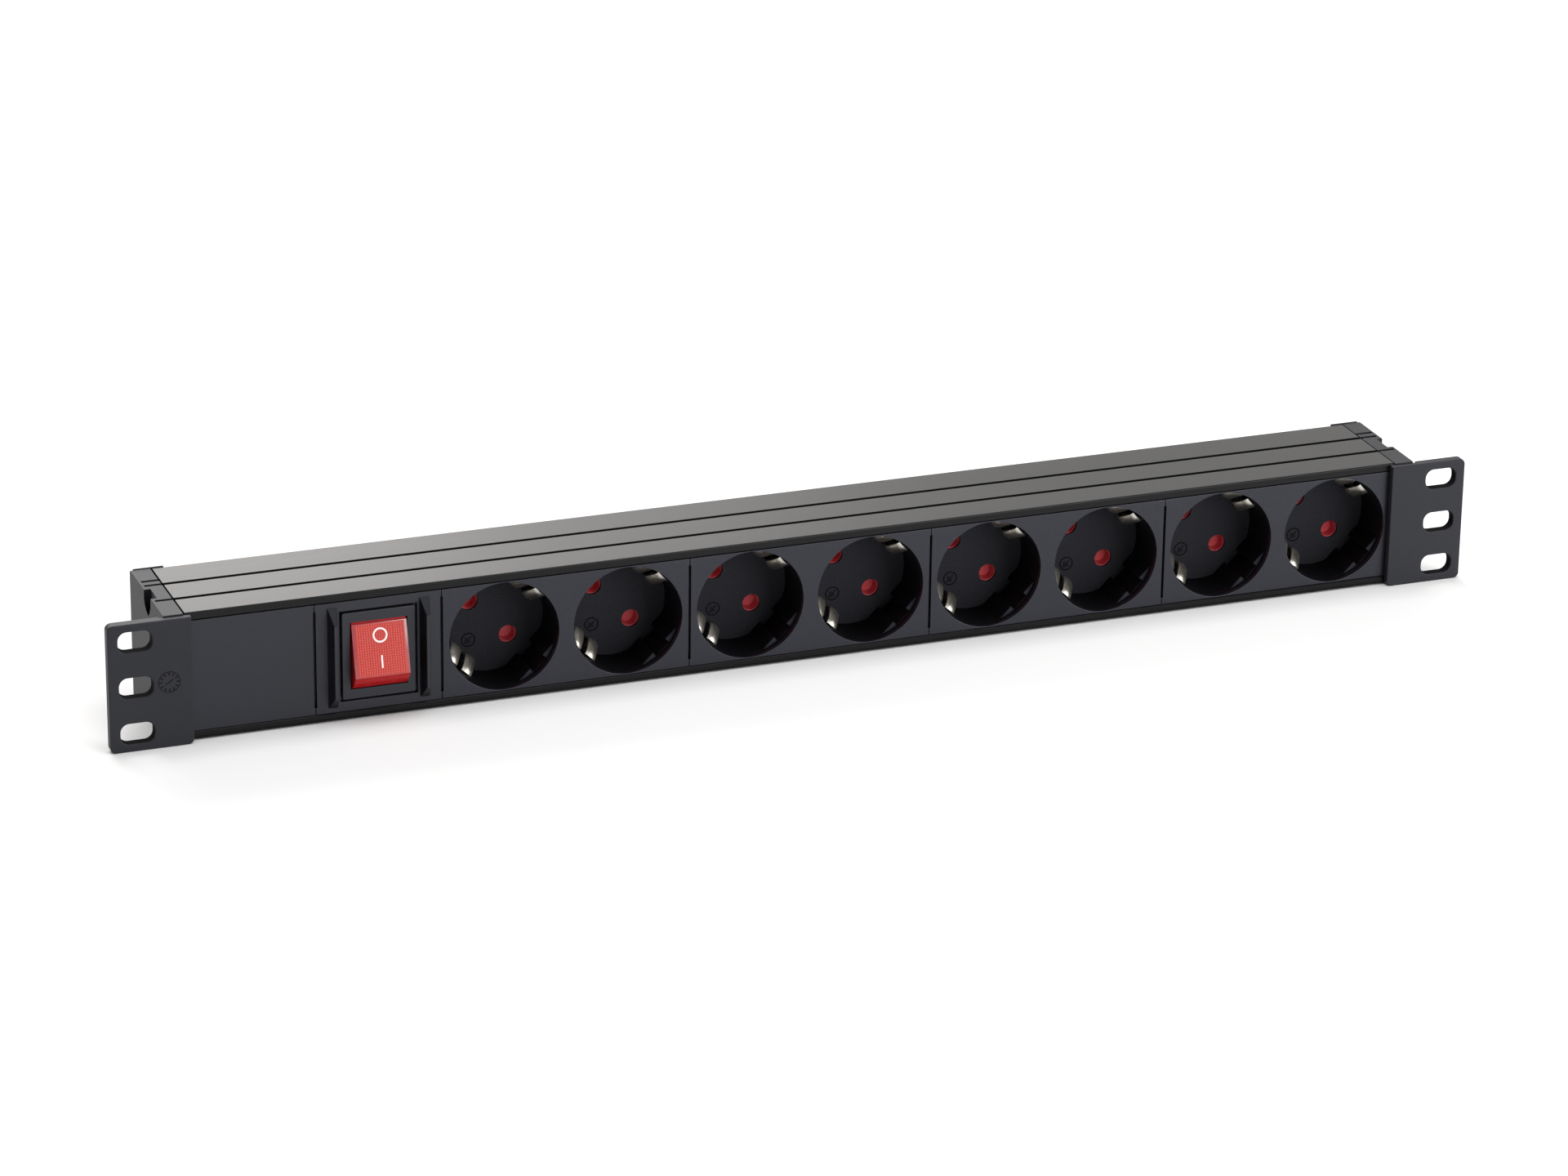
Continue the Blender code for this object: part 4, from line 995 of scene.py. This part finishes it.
def finger(x, end, side):
    """A tongue that bows inwards and folds back to the wall, crowned across its width."""
    line, across = FINGER_LINE, FINGER_ACROSS
    rows, wide = len(line), across + 1
    points = []
    for thick in (0, CLIP_THICK):
        for k, (v, y) in enumerate(line):
            before, after = line[max(k - 1, 0)], line[min(k + 1, rows - 1)]
            run = math.hypot(after[0] - before[0], after[1] - before[1])
            normal = ((after[1] - before[1]) / run, -(after[0] - before[0]) / run)
            for m in range(wide):
                s = 2 * m / across - 1
                shift = thick + (CROWN * s * s if y < CROWN_START else 0)
                u = side * FINGER_MIDDLE + s * FINGER_HALF
                points.append((u, v - normal[0] * shift, y - normal[1] * shift))
    faces = []
    for skin in (0, 1):
        for k in range(rows - 1):
            for m in range(across):
                a = skin * rows * wide + k * wide + m
                faces.append((a, a + 1, a + wide + 1, a + wide))
    rim = [(0, m) for m in range(across)] + [(k, across) for k in range(rows - 1)]
    rim += [(rows - 1, m) for m in range(across, 0, -1)] + [(k, 0) for k in range(rows - 1, 0, -1)]
    for k, (row, m) in enumerate(rim):
        next_row, next_m = rim[(k + 1) % len(rim)]
        a, b = row * wide + m, next_row * wide + next_m
        faces.append((a, b, rows * wide + b, rows * wide + a))
    flat = turned([(u, end * v) for u, v, _ in points], x)
    return solid([(a, y, b) for (a, b), (_, _, y) in zip(flat, points)], faces)


strip = turned(rounded(*CLIP_STRIP, [0.5] * 4, 3), SOCKETS[0])
parts = [pressed([strip], CLIP_FRONT, CLIP_FRONT + CLIP_STRIP_THICK, 0.1, 1)]
for end in (-1, 1):
    for side in (-1, 1):
        parts.append(finger(SOCKETS[0], end, side))
springs = for_each_socket(joined(parts), "earth_springs", nickel)
piece("earth_springs", springs, nickel, "strip", [f"earth_clip_{k}" for k in range(1, 9)])

# Rear trays and bars
# Pale plastic trays close the sockets at the back and carry three brass bars that link them.
# Their plain shapes come from the model.

# The trays are a flat pale grey with slow clouds, as uncoloured moulded plastic is.
tray_plastic = mottled("grey_tray_plastic", "#c4c4bf", "#d2d2cd", 8.333, 4.0, 0.5)
for number in range(1, 5):
    repaint(f"socket_base_{number}", tray_plastic)

# The bars are yellow metal with fine rolling lines. The lines are really finer, drawn at 0.25 mm to show.
bar_brass = mottled("rolled_brass", "#c79a4b", "#dcb568", (50, 0.25, 0.25), 3.0, 0.3, metal=True)
for node in ("live_busbar", "neutral_busbar", "earth_busbar"):
    repaint(node, bar_brass)

# Wiring and cable entry
# Insulated leads join the cable entry, the switch and the bars. A nylon bush in the back wall,
# held by a nut inside, is where a supply cord would come in.
BUSH_BORE = 5.0
BUSH_TUBE = (8.0, 37.7, 44.7)
BUSH_RIM = (9.6, 44.15, 45.0)
CRYSTAL = 0.667

# Soft PVC has a low shine. Its colours tell live, neutral and earth apart.
for node, dark, light in (
    ("live_feed_lead", "#5a2f16", "#6b3a1e"),
    ("live_out_lead", "#5a2f16", "#6b3a1e"),
    ("neutral_feed_lead", "#1f4f9c", "#2a5eb0"),
    ("neutral_out_lead", "#1f4f9c", "#2a5eb0"),
    ("earth_lead", "#4f8a1e", "#c9c23a"),
):
    repaint(node, mottled(node + "_pvc", dark, light, 5.0, 2.0, 0.45))

# The bush is a plain black nylon, a shade greyer than the channel round it.
bush_nylon = moulded_black("black_bush_nylon", "#1b1b1d", "#242426", 0.4, 0.4, 0.55, 0.03)
bush = []
for outer, front, back in (BUSH_TUBE, BUSH_RIM):
    rings = [ring_of(ENTRY_X, ENTRY_HEIGHT, radius, 64) for radius in (outer, BUSH_BORE)]
    bush.append(pressed(rings, front, back, 0.3))
piece("entry_bush", joined(bush), bush_nylon, "strip", ["cable_bush"])
repaint("bush_nut", bush_nylon)

# Zinc plating gives the screw a cool bright metal with a fine crystal grain, drawn coarse enough to show.
zinc, tree, shader = surface("zinc_plated_steel")
where = add(tree, "ShaderNodeTexCoord").outputs["Object"]
crystal = add(tree, "ShaderNodeTexNoise", Vector=where, Scale=1000 / CRYSTAL, Detail=3.0)
rough = add(tree, "ShaderNodeMapRange", Value=crystal.outputs["Fac"], To_Min=0.25, To_Max=0.4)
tree.links.new(rough.outputs["Result"], shader.inputs["Roughness"])
shader.inputs["Base Color"].default_value = colour("#cfd2d4")
shader.inputs["Metallic"].default_value = 1.0
repaint("earth_screw", zinc)

# Floor, light and camera
# A pale floor that runs on to the horizon, a soft light overhead, three behind that the channel's top
# mirrors, and two in front. The camera stands where the photograph's did, solved from the rack ears'
# standard sizes.
FLOOR_HALF = 30
PHOTO_WIDE = 1920
FOCAL_PIXELS = 6952.7
SENSOR = 36.0
CAMERA_AWAY = 1.8905
AZIMUTH, ELEVATION, ROLL = math.radians(-20.831), math.radians(21.729), math.radians(0.784)

floor_mesh = bpy.data.meshes.new("floor")
edges = [(a, b, 0) for a, b in box_outline(0, 0, FLOOR_HALF, FLOOR_HALF)]
floor_mesh.from_pydata(edges, [], [(0, 1, 2, 3)])
floor = bpy.data.objects.new("floor", floor_mesh)
bpy.context.scene.collection.objects.link(floor)
# White paper is matt, so the strip leaves only a soft shadow on it.
paper, tree, shader = surface("white_paper")
shader.inputs["Base Color"].default_value = colour("#f4f4f4")
shader.inputs["Roughness"].default_value = 0.9
floor_mesh.materials.append(paper)

world = bpy.data.worlds.new("studio")
bpy.context.scene.world = world
world.use_nodes = True
world.node_tree.nodes["Background"].inputs["Color"].default_value = (1, 1, 1, 1)
world.node_tree.nodes["Background"].inputs["Strength"].default_value = 0.3


def softbox(name, spot, aim, wide, high, tint, power):
    """A flat rectangular light that faces a point, with its sizes in metres."""
    light = bpy.data.lights.new(name, "AREA")
    light.shape = "RECTANGLE"
    light.size = wide
    light.size_y = high
    light.color = tint
    light.energy = power
    lamp = bpy.data.objects.new(name, light)
    lamp.location = spot
    lamp.rotation_euler = (Vector(aim) - Vector(spot)).to_track_quat("-Z", "Y").to_euler()
    bpy.context.scene.collection.objects.link(lamp)


softbox("overhead", (0, -0.05, 1.6), (0, -0.05, 0), 1.6, 1.2, (1, 1, 1), 20)
softbox("behind_left", (-0.19, 2.0, 0.95), (-0.19, 0, 0.03), 1.42, 1.7, (1, 0.975, 0.95), 33)
softbox("behind_middle", (0.67, 2.0, 0.95), (0.67, 0, 0.03), 0.3, 1.7, (1, 0.98, 0.96), 3.6)
softbox("behind_right", (1.51, 2.0, 0.95), (1.51, 0, 0.03), 1.38, 1.7, (1, 0.98, 0.95), 8.2)
softbox("right_front", (1.3, -0.9, 0.4), (0, 0, 0.02), 0.9, 0.7, (1, 0.98, 0.95), 10)
softbox("front", (0.85, -1.7, 0.6), (0, 0, 0.02), 0.8, 0.8, (1, 1, 1), 14)

level = math.cos(ELEVATION)
away = Vector((math.sin(AZIMUTH) * level, -math.cos(AZIMUTH) * level, math.sin(ELEVATION)))
target = place(-10.65, 0.15, 28.17)
camera_data = bpy.data.cameras.new("camera")
camera_data.sensor_width = SENSOR
camera_data.lens = FOCAL_PIXELS / PHOTO_WIDE * SENSOR
camera_data.clip_end = 200
camera = bpy.data.objects.new("camera", camera_data)
camera.location = target + away * CAMERA_AWAY
right = Vector((0, 0, 1)).cross(away).normalized()
up = away.cross(right)
side = math.cos(ROLL) * right + math.sin(ROLL) * up
over = -math.sin(ROLL) * right + math.cos(ROLL) * up
turn = away.to_track_quat("Z", "Y").to_matrix()
for row in range(3):
    turn[row][0], turn[row][1], turn[row][2] = side[row], over[row], away[row]
camera.rotation_euler = turn.to_euler()
bpy.context.scene.collection.objects.link(camera)
bpy.context.scene.camera = camera
bpy.context.scene.view_settings.view_transform = "Standard"
